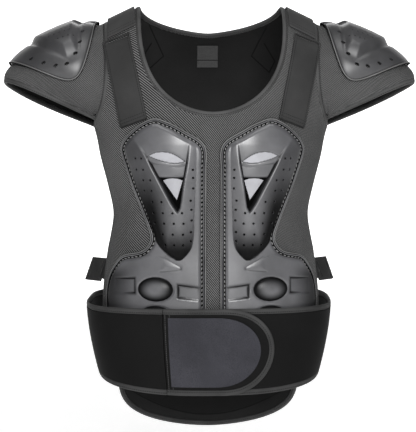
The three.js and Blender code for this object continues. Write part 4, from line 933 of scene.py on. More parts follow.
def plateShape(x, z, edge, recessed=True):  # height over the flange, then its painted shade: in the hollow, grooves and pockets and round bumps, and on the pod's flanks and the turned outer side
    spot = np.stack([x, z], -1)
    drop = (-z - plate["top"]) / plate["length"]
    low = plate["flange"]
    roll = 1 - np.clip((edge - low) / plate["shoulder"], 0, 1)
    rise = plate["shoulderHeight"] * np.sqrt(np.clip(1 - roll ** 2, 0, 1))
    pod, side, onPod = podShape(x, drop)
    inside, sink, lip, dark = hollowShape(spot, drop)
    height = rise + pod * smoothed(edge, low - 1, low + 5)
    height = np.maximum(height - sink, rise * 0.4) + lip
    # painted shade on the pod's outer flank, stronger lower down, and on the pod's lower end
    flankShade = smoothed(side, -0.3, 0.55) ** 1.1 * smoothed(podTall(drop), 0.15, 0.7)
    flankShade = flankShade * (0.5 + 0.5 * smoothed(drop, 0.2, 0.42))
    flankShade = np.maximum(flankShade, smoothed(drop, 0.46, 0.63)) * onPod * (1 - smoothed(inside, -1, 1))
    # painted shade on the plate's outer lower side, where it turns away
    turned = smoothed(x / (plateOuter(drop) * torso["half"]), 0.72, 0.97) * smoothed(drop, 0.68, 0.76)
    flankShade = np.maximum(flankShade, 0.8 * turned)
    for key in ("upperInsert", "lowerInsert"):
        top, foot = (smoothLine(line, 24) for line in plate[key])
        hole = insideDistance(spot, onPlate(np.concatenate([top, foot[::-1]])))
        if recessed:
            height = height - plate["insertSink"] * smoothed(hole, -0.6, 0.6)
        # painted shade along the edges of the sunken inserts
        dark = np.maximum(dark, 0.7 * np.exp(-(hole / plate["insertShade"]) ** 2))
    groove = lineDistance(spot, onPlate(smoothLine(plate["mark"], 40)))
    height = height - plate["grooveDepth"] * np.exp(-(groove / plate["grooveWidth"]) ** 2)
    # painted shade in the mark's groove
    dark = np.maximum(dark, 0.45 * np.exp(-(groove / 0.9) ** 2))
    marked = insideDistance(spot, onPlate(plate["mark"]))
    height = height + plate["markRise"] * smoothed(marked, 0, 8) * smoothed(drop, 0.64, 0.7)
    for key, outward in (("sidePocket", False), ("innerPocket", True)):
        pocket, rim = pocketShape(x, z, onPlate(plate[key]), outward)
        height, dark = height - pocket, np.maximum(dark, rim)
    for *place, tall in plate["bumps"]:
        bump, shade = bumpShape(x, z, place, tall)
        height, dark = height + bump, np.maximum(dark, shade)
    first, last = plate["channel"]
    channel = smoothed(edge, first, first + 0.8) * (1 - smoothed(edge, last - 0.8, last))
    return height - plate["channelDepth"] * channel, np.stack([dark, flankShade], -1)


def plateGrid(columns, rows):
    drop = np.linspace(0, 1, rows + 1)[:, None]
    outer = plateOuter(drop) * torso["half"]
    inner = mixed(plate["strip"], outer, plateInner(drop))
    spread = plate["spread"] * torso["half"]
    turn = mixed(np.arcsin(inner / spread), np.arcsin(outer / spread), np.linspace(0, 1, columns + 1)[None])
    x = spread * np.sin(turn)
    z = -plate["top"] - drop * plate["length"] + 0 * x
    return x, z, onTorso(-1, x, z)


def aroundGrid(table):  # the outline of a grid, once round
    return np.concatenate([table[0], table[1:, -1], table[-1, -2::-1], table[-2:0:-1, 0]])


plateX, plateZ, plateBase = plateGrid(plate["columns"], plate["rows"])
plateRim = aroundGrid(plateBase[0]), aroundGrid(plateBase[1])
rimLine = resampled(*plateRim, 3, True)[0]
plateEdge = lineDistance(plateBase[0], rimLine, True)
height, shadeMap = plateShape(plateX, plateZ, plateEdge)
platePoints = plateBase[0] + plateBase[1] * (plateFace + height)[..., None]
rimRun = runAt(rimLine)


def runAlong(points, line, run):  # how far along a line the nearest place lies
    flat = points.reshape(-1, 3)
    best, found = np.full(len(flat), 1e9), np.zeros(len(flat))
    for k, start in enumerate(line):
        end = line[(k + 1) % len(line)]
        along = end - start
        t = np.clip(((flat - start) @ along) / (along @ along), 0, 1)
        distance = np.linalg.norm(flat - (start + t[:, None] * along), axis=1)
        closer = distance < best
        best[closer], found[closer] = distance[closer], (run[k] + t * np.linalg.norm(along))[closer]
    return found.reshape(points.shape[:-1])


edgeMap = np.stack([runAlong(plateBase[0], rimLine, rimRun), plateEdge], -1) * mm
chestPlate = gridPiece("chestPlateLeft", platePoints, plateBase[1],
                       {"cloth": np.stack([plateX, plateZ], -1) * mm, "edge": edgeMap, "shade": shadeMap})
wall(chestPlate, plate["wall"])


def cutter(place, normal, width, tall, depth, sides):  # a straight pin through a wall
    bpy.ops.mesh.primitive_cylinder_add(
        vertices=sides, radius=0.5 * mm, depth=depth * mm, location=place * mm)
    pin = bpy.context.object
    pin.rotation_mode = "QUATERNION"
    pin.rotation_quaternion = Vector(normal).to_track_quat("Z", "Y")
    pin.scale = (width, tall, 1)
    bpy.ops.object.transform_apply(location=True, rotation=True, scale=True)
    return pin


def cutAway(piece, pins):  # take a group of pins out of a piece
    bpy.ops.object.select_all(action="DESELECT")
    for pin in pins:
        pin.select_set(True)
    bpy.context.view_layer.objects.active = pins[0]
    bpy.ops.object.join()
    group = bpy.context.view_layer.objects.active
    modify(piece, "BOOLEAN", operation="DIFFERENCE", object=group, solver="EXACT")
    bpy.data.objects.remove(group)


pins = []
for drop, first, last, count in plate["drills"]:
    for share in np.linspace(first, last, count):
        x, z = onPlate((drop, share))
        place, normal = onTorso(-1, [x], [z])
        middle, width = place[0] + normal[0] * plate["drillLift"], plate["drillWidth"]
        pins.append(cutter(middle, normal[0], width, width, plate["drillDepth"], 14))
cutAway(chestPlate, pins)
smooth(chestPlate, 50)


def insertPiece(name, top, foot):  # a thin sheet between two curves
    first, last = (onPlate(smoothLine(line, 28)) for line in (top, foot))
    middle = (first.mean(0) + last.mean(0)) / 2
    first, last = (mixed(middle, line, plate["insertFit"]) for line in (first, last))
    spot = mixed(first[None], last[None], np.linspace(0, 1, 13)[:, None, None])
    x, z = spot[..., 0], spot[..., 1]
    base, normals = onTorso(-1, x, z)
    edge = lineDistance(base, rimLine, True)
    lift = plateFace + plateShape(x, z, edge, False)[0]
    piece = gridPiece(name, base + normals * lift[..., None], normals, {"cloth": spot * mm})
    wall(piece, plate["insertWall"])
    smooth(piece, 40)
    return piece


insertUpper = insertPiece("chestInsertUpperLeft", *plate["upperInsert"])
insertLower = insertPiece("chestInsertLowerLeft", *plate["lowerInsert"])
cordWidth = 3.2
cordLine = plateRim[0] + plateRim[1] * (hardSeat + cordWidth / 2), plateRim[1]
cordSeat = panel["seat"] + cordWidth / 2
chestCord = tape("chestCordLeft", cordLine, -cordSeat, cordWidth, cordWidth, 2, True, 12)
print("plates", len(chestPlate.data.vertices))


# shoulder cups, domed over the sleeves
cup = {
    "middle": 0.408, "reach": 0.34, "turn": 58, "seat": 4.3, "wall": 2.5, "height": 9, "flatness": 2.6,
    "lean": 0.5, "edgePower": 0.8, "rings": 64, "sectors": 180,
    "facet": [  # half its outline: outward and around, as shares of the cup
        (-0.67, 0), (-0.64, -0.3), (-0.46, -0.7), (-0.16, -0.72), (0.14, -0.5), (0.32, -0.2), (0.34, 0),
    ],
    "facetHeight": 6.5, "facetEdge": 0.13, "valley": 1.4,
    "vents": (166, 150, 135, 118, 94, 73, 56, 40), "ventPlace": 0.83, "ventSize": (7.2, 4.8),
    "holeRows": [(-0.49, -0.5, 4), (-0.46, -0.4, 5)], "holeStep": 0.115,
    "holeWidth": 2.4, "pinDepth": 14,
}


def cupPlace(radius, angle, lift):
    share = cup["middle"] + cup["reach"] * radius * np.cos(np.radians(angle))
    points, normals = onSleeve(share, 90 + cup["turn"] * radius * np.sin(np.radians(angle)))
    return points + normals * np.asarray(lift)[..., None], normals


def cupRelief(radius, angle):
    out, around = radius * np.cos(np.radians(angle)), radius * np.sin(np.radians(angle))
    dome = (1 - radius ** cup["flatness"]) ** cup["edgePower"]
    half = np.array(cup["facet"])
    facet = np.concatenate([half, half[-2:0:-1] * (1, -1)])
    inside = insideDistance(np.stack([out, around], -1), facet)
    raised = cup["facetHeight"] * smoothed(inside, -0.03, cup["facetEdge"]) * (1 - 0.35 * np.abs(around))
    valley = cup["valley"] * np.exp(-((inside + 0.05) / 0.05) ** 2)
    domed = cup["height"] * dome * (1 - cup["lean"] * out)
    return domed + (raised - valley) * smoothed(1 - radius, 0.03, 0.2)


def mergedDisc(piece):
    use(piece)
    bpy.ops.object.mode_set(mode="EDIT")
    bpy.ops.mesh.select_all(action="SELECT")
    bpy.ops.mesh.remove_doubles(threshold=1e-6)
    bpy.ops.object.mode_set(mode="OBJECT")


radius, angle = crossed(np.linspace(0, 1, cup["rings"] + 1) ** 0.8, np.linspace(0, 360, cup["sectors"] + 1))
cupMap = np.stack([radius * np.cos(np.radians(angle)), radius * np.sin(np.radians(angle))], -1)
cupLayers = []
for lift in (cup["seat"] + cup["wall"], cup["seat"]):
    cupPoints, cupNormals = cupPlace(radius, angle, lift + cupRelief(radius, angle))
    cupLayers.append(gridPiece("shoulderCupLeft", cupPoints, cupNormals, {"cloth": cupMap}))
    mergedDisc(cupLayers[-1])
shoulderCup, cupInside = cupLayers
modify(shoulderCup, "SOLIDIFY", thickness=cup["wall"] * mm, offset=-1)
inner = placesOf(cupInside.data)  # the wall's inner face follows the inner layer
walled = placesOf(shoulderCup.data)
walled[len(inner):2 * len(inner)] = inner
movePlaces(shoulderCup.data, walled)
bpy.data.objects.remove(cupInside)


def cupPin(radius, angle, width, tall, sides):
    radius, angle = np.array([radius]), np.array([float(angle)])
    place, normal = cupPlace(radius, angle, cup["seat"] + cupRelief(radius, angle))
    outer, inner = (cupPlace(radius + step, angle, cup["seat"])[0] for step in (0.02, -0.02))
    side = np.cross(normal[0], unit(outer - inner)[0])
    turn = np.stack([side, np.cross(normal[0], side), normal[0]], 1)
    pin = cutter(place[0], (0, 0, 1), width, tall, cup["pinDepth"], sides)
    middle = place[0] * mm
    movePlaces(pin.data, (placesOf(pin.data) - middle) @ turn.T + middle)
    return pin


pins = [cupPin(cup["ventPlace"], side * at, *cup["ventSize"], 20) for at in cup["vents"] for side in (-1, 1)]
for first, around, count in cup["holeRows"]:
    for side in (-1, 1):
        for k in range(count):
            out = first + k * cup["holeStep"]
            at = math.degrees(math.atan2(side * around, out))
            pins.append(cupPin(math.hypot(out, around), at, cup["holeWidth"], cup["holeWidth"], 10))
for k in range(0, len(pins), 9):
    cutAway(shoulderCup, pins[k:k + 9])
smooth(shoulderCup, 50)
turns = np.linspace(0, 360, 121)[:-1]
cupRim = cupPlace(np.ones(120), turns, hardSeat + 5 * panel["seat"] + cordWidth / 2)
cupCord = tape("cupCordLeft", cupRim, cordSeat, cordWidth, cordWidth, 2, True, 12)
print("cups", len(shoulderCup.data.vertices))

# shoulder yokes, loops and straps
strap = {
    "length": 119, "wall": 2.2, "lean": 12, "slant": 20, "topX": 137, "start": 55.1, "yokeTurns": (-43.3, 44),
    "inner": 111.3, "outer": 150.3, "yokeSeat": 2.7, "yokeWall": 2.4, "seat": 2.7, "hookWall": 1,
    "hookEnd": 2.5,
    "loopWall": 2.2, "loopBar": 3, "loopSlot": 4.5, "loopRound": 2.2, "hookGap": 0.8,
    "bevel": 0.6, "hookBevel": 0.3,
}
strapWidth = strap["outer"] - strap["inner"]


def beside(across, down):  # places on the chest in the strap's own directions
    lean, slant = math.radians(strap["lean"]), math.radians(strap["slant"])
    x = strap["topX"] + across * math.cos(slant) - down * math.sin(lean)
    z = -strap["start"] - across * math.sin(slant) - down * math.cos(lean)
    return onTorso(-1, x, z)


def lifted(places, lift):
    return places[0] + places[1] * np.asarray(lift)[..., None], places[1]


def soften(piece, width, angle):
    angle = math.radians(angle)
    modify(piece, "BEVEL", width=width * mm, segments=3, limit_method="ANGLE", angle_limit=angle)


def slab(name, places, map, thickness, bevel):  # a band of even thickness with softened edges
    piece = gridPiece(name, *places, {"cloth": map})
    wall(piece, thickness)
    soften(piece, bevel, 60)
    smooth(piece, 50)
    return piece


turns, reach = crossed(np.linspace(*strap["yokeTurns"], 61), np.linspace(strap["inner"], strap["outer"], 17))
yokeRun = np.radians(turns - strap["yokeTurns"][0]) * torso["roll"]
yokeMap = np.stack([reach - strap["inner"], yokeRun], -1) * mm
yokePlaces = lifted(placeOn(torsoAt, reach, turns), strap["yokeSeat"] + strap["yokeWall"] / 2)
shoulderYoke = slab("shoulderYokeLeft", yokePlaces, yokeMap, strap["yokeWall"], strap["bevel"])


def strapGrid(first, last, count):
    half = strapWidth / 2
    down, across = crossed(np.linspace(first, last, count), np.linspace(-half, half, 19))
    return down, beside(across, down), np.stack([across + half, down], -1) * mm


loopFoot = strap["loopSlot"] / 2 + strap["loopBar"]
_, hookPlaces, hookMap = strapGrid(loopFoot + strap["hookGap"], strap["length"] + strap["hookEnd"], 60)
hookPlaces = lifted(hookPlaces, strap["seat"] + strap["hookWall"] / 2)
hookPatch = slab("hookPatchLeft", hookPlaces, hookMap, strap["hookWall"], strap["hookBevel"])
down, strapPlaces, strapMap = strapGrid(strap["loopSlot"] / 2, strap["length"], 64)
low = strap["seat"] + strap["hookWall"] + panel["seat"]
high = strap["seat"] + strap["loopWall"] + panel["seat"]
strapLift = mixed(high, low, smoothed(down, loopFoot, 2 * loopFoot)) + strap["wall"] / 2
strapPlaces = lifted(strapPlaces, strapLift)
shoulderStrap = slab("shoulderStrapLeft", strapPlaces, strapMap, strap["wall"], strap["bevel"])


def roundedBox(wide, tall, corner):  # the outline of a box with round corners, from its middle
    turn = np.radians(np.linspace(0, 90, 6))
    arc = np.stack([np.cos(turn), np.sin(turn)], 1) * corner + (wide - corner, tall - corner)
    quarters = [arc, arc[::-1] * (-1, 1), -arc, arc[::-1] * (1, -1)]
    return np.concatenate(quarters)


slotHalf = strapWidth / 2 - 3 * panel["seat"]
ringHalf = (strap["loopSlot"] + strap["loopBar"]) / 2
ring = roundedBox(slotHalf + strap["loopBar"] / 2, ringHalf, strap["loopRound"])
ringPlaces = lifted(beside(ring[:, 0], ring[:, 1]), strap["seat"] + strap["loopWall"] / 2)
ringSection = roundSection(strap["loopBar"] - 0.1, strap["loopWall"], 12, 3)
strapLoop = sweep("strapLoopLeft", *resampled(*ringPlaces, 1.2, True), ringSection, True)
smooth(strapLoop, 60)

# side straps and their buckles
side = {
    "webWidth": 25, "webWall": 1.6, "tabWidth": 56, "tabRimWidth": 50, "tabRise": 10, "drop": 391,
    "width": 34, "length": 34, "wall": 5, "reach": 12, "flare": 39, "lean": 0.35, "tuck": 14,
    "slot": 4, "bar": 3, "webGap": 0.8, "webBevel": 0.35, "bevel": 0.9, "holeDepth": 16,
}
webLift = -panel["tapeWall"] / 2 - 2 * panel["seat"] - side["webWall"] / 2


def bucklePlace(run, z):  # on the buckle's slanting middle plane
    flare = math.radians(side["flare"])
    x = halfWidthAt(np.array(-float(side["drop"]))) + side["reach"] + run * math.sin(flare)
    return np.stack(np.broadcast_arrays(x + side["lean"] * (-side["drop"] - z), run * math.cos(flare), z), -1)


def atRim(face, tuck):  # where a web passes a panel's rim, or lies inside it, at each height
    def places(z):
        x = drawnIn(outlineAt(z, face), z, face, tuck)
        return lifted(onTorso(face, x, z), webLift)[0]
    return places


def web(name, stations, halves, drops):  # a flat strap drawn through stations, each a row of places over z
    share = np.linspace(1, -1, 13)
    rows = [station(-drop + half * share) for station, half, drop in zip(stations, halves, drops)]
    line = np.array(rows)
    run = np.linspace(0, len(rows) - 1, 12 * (len(rows) - 1) + 1)
    k = np.minimum(run.astype(int), len(rows) - 2)
    t = (run - k)[:, None, None]
    points = line[k] * (1 - t) + line[k + 1] * t
    points = evened(points, 6)
    normals = np.cross(np.gradient(points, axis=0), np.gradient(points, axis=1))
    normals = unit(normals * np.sign(normals[..., :1].mean() or 1))
    return slab(name, (points, normals), surfaceLengths(points), side["webWall"], side["webBevel"])


webEnd, webHalf = side["length"] / 2 + side["webGap"], side["webWidth"] / 2
tabDrop = side["drop"] - side["tabRise"]
sideTab = web("sideTabLeft", [atRim(-1, side["tuck"]), atRim(-1, 0), lambda z: bucklePlace(-webEnd, z)],
              [side["tabWidth"] / 2, side["tabRimWidth"] / 2, webHalf], [tabDrop, tabDrop, side["drop"]])
sideWeb = web("sideWebLeft", [lambda z: bucklePlace(webEnd, z), atRim(1, 0), atRim(1, side["tuck"])],
              [webHalf] * 3, [side["drop"]] * 3)
height, run = crossed(np.linspace(0.5, -0.5, 13) * side["width"], np.linspace(-0.5, 0.5, 13) * side["length"])
bucklePoints = bucklePlace(run, -side["drop"] + height)
corner = bucklePoints[0, 0]
buckleOut = unit(np.cross(bucklePoints[0, -1] - corner, bucklePoints[-1, 0] - corner))
buckleOut = buckleOut * np.sign(buckleOut[0])
sideBuckle = gridPiece("sideBuckleLeft", bucklePoints, np.broadcast_to(buckleOut, bucklePoints.shape),
                       {"cloth": np.stack([run, height], -1) * mm})
wall(sideBuckle, side["wall"])


def buckleHole(run, wide, tall):
    bpy.ops.mesh.primitive_cube_add(size=1)
    block, low = bpy.context.object, -float(side["drop"])
    start = bucklePlace(0.0, low)
    ahead, upward = unit(bucklePlace(1.0, low) - start), unit(bucklePlace(0.0, low + 1) - start)
    places = placesOf(block.data) * (wide, tall, side["holeDepth"])
    places = places @ np.stack([ahead, upward, buckleOut]) + bucklePlace(float(run), low)
    movePlaces(block.data, places * mm)
    return block


slotMiddle = side["length"] / 2 - side["bar"] - side["slot"] / 2
slotTall = side["webWidth"] + side["webGap"]
cutAway(sideBuckle, [buckleHole(sign * slotMiddle, side["slot"], slotTall) for sign in (-1, 1)])
soften(sideBuckle, side["bevel"], 40)
smooth(sideBuckle, 40)

# bare labels inside the back of the neck
label = {
    "width": 32, "back": -3.9, "wall": 0.8, "bevel": 0.2,
    "rows": [("neckLabelUpper", 51.9, 22), ("neckLabelLower", 74.9, 11)],  # name, top, height
}
labels = []
for name, top, tall in label["rows"]:
    down, across = crossed(np.linspace(0, tall, 15), np.linspace(-0.5, 0.5, 21) * label["width"])
    places = lifted(onTorso(1, across, -top - down), label["back"] + label["wall"] / 2)
    labels.append(slab(name, places, np.stack([across, down], -1) * mm, label["wall"], label["bevel"]))
print("straps, buckles and labels")


# materials
fabric = {"rib": 0.0031, "pale": 122, "dark": 4, "depth": 0.0012, "strength": 0.8, "roughness": 0.82}


def meshMaterial():  # spacer mesh: fine diagonal ribs crossed by a finer grain
    f = Finish("spacerMesh")
    across, down, _ = f.parts(f.place("cloth"))
    waver = f.noise(f.place(), 60, 2) * 0.0007
    rib = ((across + down * 0.82 + waver) * (2 * math.pi / fabric["rib"])).sin()
    cross = ((across * 0.9 - down + waver) * (2 * math.pi / (fabric["rib"] * 0.6))).sin()
    weave = rib * 0.36 + cross * 0.14 + 0.5
    wear = f.noise(f.place(), 9, 4, 0.6)
    pale, dark = grey(fabric["pale"]), grey(fabric["dark"])
    colour = f.mix(weave.ramp(0.3, 0.85), dark, pale)
    colour = f.mix(wear.ramp(0.2, 0.8) * 0.3, colour, dark)
    bump = f.bump(weave, fabric["strength"], fabric["depth"])
    return f.set(Base_Color=colour, Roughness=wear * 0.12 + fabric["roughness"] - 0.08, Normal=bump,
                 Specular_IOR_Level=0.25)


lining = {
    "strapEnds": [(0.09, -0.024), (0.068, -0.069), (0.096, -0.094), (0.104, -0.077), (0.087, -0.05)],
    "seam": 0.0011, "tailHem": 0.629, "tailRise": 0.033, "tailReach": 0.105, "tailTop": 0.585,
}


def besideSegment(x, z, start, end):  # distance of a point from a straight seam
    run, rise = end[0] - start[0], end[1] - start[1]
    t = (((x - start[0]) * run + (z - start[1]) * rise) / (run * run + rise * rise)).most(0.0).least(1.0)
    off, up = x - start[0] - t * run, z - start[1] - t * rise
    return (off * off + up * up).root()


def liningMaterial():  # the dark smooth inner face, with the shoulder pads' seams and the tail's curved hem
    f = Finish("lining")
    x, y, z = f.parts(f.place())
    ends = lining["strapEnds"]
    seam = besideSegment(x.size(), z, *ends[:2])
    for k in range(1, len(ends) - 1):
        seam = seam.least(besideSegment(x.size(), z, *ends[k:k + 2]))
    below = z + lining["tailHem"] - x * x * (lining["tailRise"] / lining["tailReach"] ** 2)
    tail = z.below(-lining["tailTop"])
    seam = seam.least(below.size() + (1.0 - tail)) + y.below(0.0)
    line = 1.0 - seam.ramp(lining["seam"] * 0.4, lining["seam"] * 1.3)
    inner = below.above(0.0) * tail
    across, down, _ = f.parts(f.place("cloth"))
    weave = ((across * 2600).sin() * (down * 2600).sin()) * 0.5 + 0.5
    fold = f.noise(f.place(), 7, 3)
    colour = f.mix(fold.ramp(0.3, 0.75), grey(16), grey(30))
    colour = f.mix(line.most(inner * 0.5), colour, grey(1))
    height = weave - line * 4.0
    return f.set(Base_Color=colour, Roughness=fold * 0.1 + 0.78, Normal=f.bump(height, 0.35, 0.0004),
                 Specular_IOR_Level=0.2)


def tapeMaterial(name, level, width):  # folded tape with rows of stitches along it
    f = Finish(name)
    run, girth, _ = f.parts(f.place("cloth"))
    weave = (run * (2 * math.pi / 0.0011)).sin() * 0.5 + 0.5
    wear = f.noise(f.place(), 22, 3)
    colour = f.mix(wear.ramp(0.25, 0.75), grey(level - 10), grey(level + 8))
    rows = near(((girth / width).fraction() - 0.5).size(), 0.31, 0.035)
    stitch = near((run / 0.0034).fraction(), 0.5, 0.33) * rows
    colour = f.mix(stitch, colour, grey(level - 30))
    height = weave * 0.35 - stitch * 0.9
    return f.set(Base_Color=colour, Roughness=wear * 0.14 + 0.66, Normal=f.bump(height, 0.55, 0.0006),
                 Specular_IOR_Level=0.3)


def webMaterial(name, level, hem):  # strap fabric: a fine grain, and rows of stitches inside its hem
    f = Finish(name)
    across, down, _ = f.parts(f.place("cloth"))
    grain = f.noise(f.place(), 900, 2)
    wear, colour = f.worn(level - 7, level + 7, 14, 4, 0.6)
    height = grain * 0.5
    for line, along in hem(across, down):
        dash = (along / 0.0032).fraction().above(0.3)
        colour = f.mix(line * dash, colour, grey(max(level - 34, 6)))
        height = height - line * 0.5 - line * dash * 0.6
    return f.set(Base_Color=colour, Roughness=wear * 0.12 + 0.68, Normal=f.bump(height, 0.5, 0.0007),
                 Specular_IOR_Level=0.28)


def neopreneMaterial(name, stitched):  # smooth close-knit face; the flap has a stitched band at its seam
    f = Finish(name)
    around, down, _ = f.parts(f.place("cloth"))
    grain = f.noise(f.place(), 1500, 2)
    wear, colour = f.worn(6, 13, 11, 4, 0.55)
    height = grain * 0.6
    if stitched:
        start = (belt["seam"] + belt["seamGap"]) * belt["degree"] * mm
        line = near(around, start + 0.0022, 0.0004).most(near(around, start + 0.0075, 0.0004))
        dash = line * (down / 0.0032).fraction().above(0.3)
        colour = f.mix(dash, colour, grey(60))
        height = height + dash * 0.5 - line * 0.4
    return f.set(Base_Color=colour, Roughness=wear * 0.12 + 0.72, Normal=f.bump(height, 0.35, 0.0005),
                 Specular_IOR_Level=0.14)


def patchMaterial():  # hook panel: close short pile
    f = Finish("hookPanel")
    pile = f.noise(f.place(), 1100, 2, 0.7)
    wear = f.noise(f.place(), 16, 4, 0.6)
    colour = f.mix(wear.ramp(0.25, 0.8), grey(44, (1, 1, 1.12)), grey(58, (1, 1, 1.1)))
    colour = f.mix(pile.ramp(0.45, 0.7), colour, grey(36, (1, 1, 1.1)))
    return f.set(Base_Color=colour, Roughness=wear * 0.08 + 0.8, Normal=f.bump(pile, 0.6, 0.0006),
                 Specular_IOR_Level=0.2)


armour = {
    # hollow is the grey of the painted shade
    "pale": 92, "dark": 72, "cupPale": 62, "cupDark": 44, "hollow": 4, "thread": 112,
    "rough": 0.27, "cupRough": 0.36, "gloss": 0.75,
    "channel": (0.0031, 0.0024), "rope": 0.0062, "dash": 0.29, "dashLine": (0.0033, 0.0008),
    "holeRows": 8.7, "holeColumns": 10, "holeSize": 0.06, "holeField": ((-0.24, 0.27), 0.35),
}


def armourMaterial(name, stitched):  # moulded rubbery plastic, with a stitched channel and painted shade, or small holes painted as black dots
    f = Finish(name)
    grain = f.noise(f.place(), 700, 2)
    dark, pale = (armour["dark"], armour["pale"]) if stitched else (armour["cupDark"], armour["cupPale"])
    wear, colour = f.worn(dark, pale, 18, 5, 0.6, (1, 1, 1.03))
    height = grain * 0.15 + wear * 0.4
    rough = wear * 0.14 + armour["rough" if stitched else "cupRough"]
    if stitched:
        # the shade map: painted shade in hollows, grooves and pockets and on turned flanks
        dark, flankShade, _ = f.parts(f.place("shade"))
        run, edge, _ = f.parts(f.place("edge"))
        channel = near(edge, *armour["channel"])
        rope = ((run + edge * 0.9) / armour["rope"]).fraction()
        dash = near(rope, 0.5, armour["dash"]) * near(edge, *armour["dashLine"])
        colour = f.mix(dash, colour, grey(armour["thread"]))
        height = height + dash * 0.9
        rough = rough + channel * 0.3
        # painted shade and the black stitch channel, as a dull near-black layer
        f.paintedShadeLayer((channel * (1.0 - dash)).most(dark).most(flankShade * 0.96), grey(armour["hollow"]))
    else:
        out, around, _ = f.parts(f.place("cloth"))
        # painted shade: rows of small perforations painted as black dots
        row = (out * armour["holeRows"]).fraction() - 0.5
        column = (around.size() * armour["holeColumns"]).fraction() - 0.5
        place, half = armour["holeField"]
        field = around.size().below(half) * near(out, *place)
        hole = (row * row * 0.25 + column * column).below(armour["holeSize"]) * field
        colour = f.mix(hole, colour, grey(5))
        height = height - hole * 1.5
    return f.set(Base_Color=colour, Roughness=rough, Normal=f.bump(height, 0.5, 0.0005),
                 Specular_IOR_Level=armour["gloss"])


def cordMaterial(name, level, girthAll):  # piping: a light top between its sides, which carry painted shade
    f = Finish(name)
    run, girth, _ = f.parts(f.place("cloth"))
    twist = ((run + girth * 0.6) * (2 * math.pi / 0.0016)).sin() * 0.5 + 0.5
    wear, colour = f.worn(level - 12, level + 10, 24, 3)
    # painted shade on the cord's sides, in a dull dark layer
    f.paintedShadeLayer((girth - girthAll * 0.25).size().ramp(0.0008, 0.0014), grey(6))
    return f.set(Base_Color=colour, Roughness=wear * 0.12 + 0.42, Normal=f.bump(twist, 0.3, 0.0004))


def insertMaterial():
    f = Finish("paleInsert")
    grain = f.noise(f.place(), 800, 2)
    wear, colour = f.worn(148, 164, 30, 4, 0.5, (1, 1, 1.03))
    return f.set(Base_Color=colour, Roughness=wear * 0.1 + 0.5, Normal=f.bump(grain, 0.2, 0.0003))


def buckleMaterial():
    f = Finish("bucklePlastic")
    grain = f.noise(f.place(), 900, 2)
    wear, colour = f.worn(26, 44, 40, 4)
    return f.set(Base_Color=colour, Roughness=wear * 0.12 + 0.36, Normal=f.bump(grain, 0.3, 0.0004))


def labelMaterial():  # bare woven label
    f = Finish("bareLabel")
    across, down, _ = f.parts(f.place("cloth"))
    weave = ((across * 5200).sin() * (down * 5200).sin()) * 0.5 + 0.5
    wear, colour = f.worn(40, 50, 30, 3)
    return f.set(Base_Color=colour, Roughness=wear * 0.1 + 0.6, Normal=f.bump(weave, 0.4, 0.0004))


def paintMaterial(name, glow):  # matt white paint, lit evenly
    f = Finish(name)
    tone = f.noise(f.place(), 3, 3)
    colour = f.mix(tone, grey(250), grey(254))
    return f.set(Base_Color=colour, Roughness=tone * 0.05 + 0.9, Specular_IOR_Level=0.0,
                 Emission_Color=colour, Emission_Strength=glow)


def webHem(across, down):  # rows inside the strap's edges and its lower end
    width, length = strapWidth * mm, strap["length"] * mm
    sides = near((across - width / 2).size(), width / 2 - 0.0028, 0.0004)
    return [(sides, down)] + [(near(down, length - inset, 0.0004), across) for inset in (0.004, 0.0085)]


def yokeHem(across, down):
    return [(near(down, 0.0045, 0.0005), across), (near(down, 0.0105, 0.0005), across)]


def plainHem(across, down):
    return [(near(across, 0.004, 0.0004), down)]


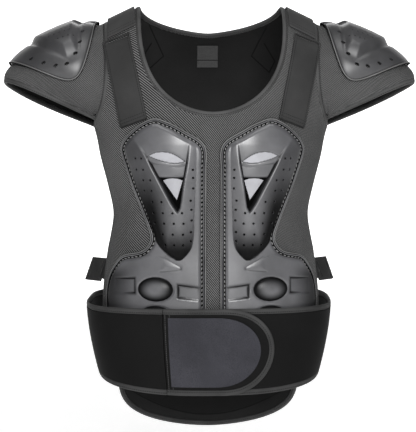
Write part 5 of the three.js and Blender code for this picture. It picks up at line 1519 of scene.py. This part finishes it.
materials = {
    "mesh": meshMaterial(),
    "lining": liningMaterial(),
    "tape": tapeMaterial("edgeTape", 62, 0.018),
    "beltTape": tapeMaterial("beltTape", 46, 0.018),
    "neoprene": neopreneMaterial("neoprene", False),
    "flap": neopreneMaterial("flapNeoprene", True),
    "patch": patchMaterial(),
    "plate": armourMaterial("plateArmour", True),
    "cup": armourMaterial("cupArmour", False),
    "plateCord": cordMaterial("plateCord", 84, 0.0092),
    "cupCord": cordMaterial("cupCord", 92, 0.0092),
    "insert": insertMaterial(),
    "buckle": buckleMaterial(),
    "strap": webMaterial("strapCloth", 41, webHem),
    "yoke": webMaterial("yokeCloth", 55, yokeHem),
    "hook": webMaterial("hookCloth", 22, plainHem),
    "webbing": webMaterial("sideWebbing", 38, plainHem),
    "label": labelMaterial(),
}
floor.data.materials.append(paintMaterial("floorPaint", studio["floorGlow"]))
backWall.data.materials.append(paintMaterial("wallPaint", studio["wallGlow"]))

# every piece takes its material, and its CAD node's place
dress(frontPanel, ["front_panel"], "spacer_mesh", materials["mesh"], materials["lining"])
dress(backPanel, ["back_panel"], "spacer_mesh", materials["mesh"], materials["lining"])
dress(neckBinding, ["neck_binding"], "edge_tape", materials["tape"])
both(edgeBinding, "edge_binding", "edge_tape", materials["tape"])
both(sleeveLeft, "sleeve", "spacer_mesh", materials["mesh"], materials["lining"])
both(cuffBinding, "cuff_binding", "edge_tape", materials["tape"])
dress(beltBand, ["belt_band"], "neoprene", materials["neoprene"], materials["lining"])
dress(beltFlap, ["belt_flap"], "neoprene", materials["flap"], materials["lining"])
dress(beltBindingTop, ["belt_binding_top"], "edge_tape", materials["beltTape"])
dress(beltBindingFoot, ["belt_binding_foot"], "edge_tape", materials["beltTape"])
dress(flapBinding, ["flap_binding"], "edge_tape", materials["beltTape"])
dress(flapPatch, ["flap_patch"], "flap_patch", materials["patch"])
both(chestPlate, "chest_plate", "armour_plastic", materials["plate"])
both(insertUpper, "chest_insert_upper", "pale_insert", materials["insert"])
both(insertLower, "chest_insert_lower", "pale_insert", materials["insert"])
both(chestCord, "chest_cord", "edge_tape", materials["plateCord"])
both(shoulderCup, "shoulder_cup", "armour_plastic", materials["cup"])
both(cupCord, "cup_cord", "edge_tape", materials["cupCord"])
both(shoulderYoke, "shoulder_yoke", "webbing", materials["yoke"])
both(strapLoop, "strap_loop", "buckle_plastic", materials["buckle"])
both(hookPatch, "hook_patch", "webbing", materials["hook"])
both(shoulderStrap, "shoulder_strap", "webbing", materials["strap"])
both(sideTab, "side_tab", "webbing", materials["webbing"])
both(sideWeb, "side_web", "webbing", materials["webbing"])
both(sideBuckle, "side_buckle", "buckle_plastic", materials["buckle"])
dress(labels[0], ["neck_label_upper"], "label", materials["label"])
dress(labels[1], ["neck_label_lower"], "label", materials["label"])
print("materials stand")
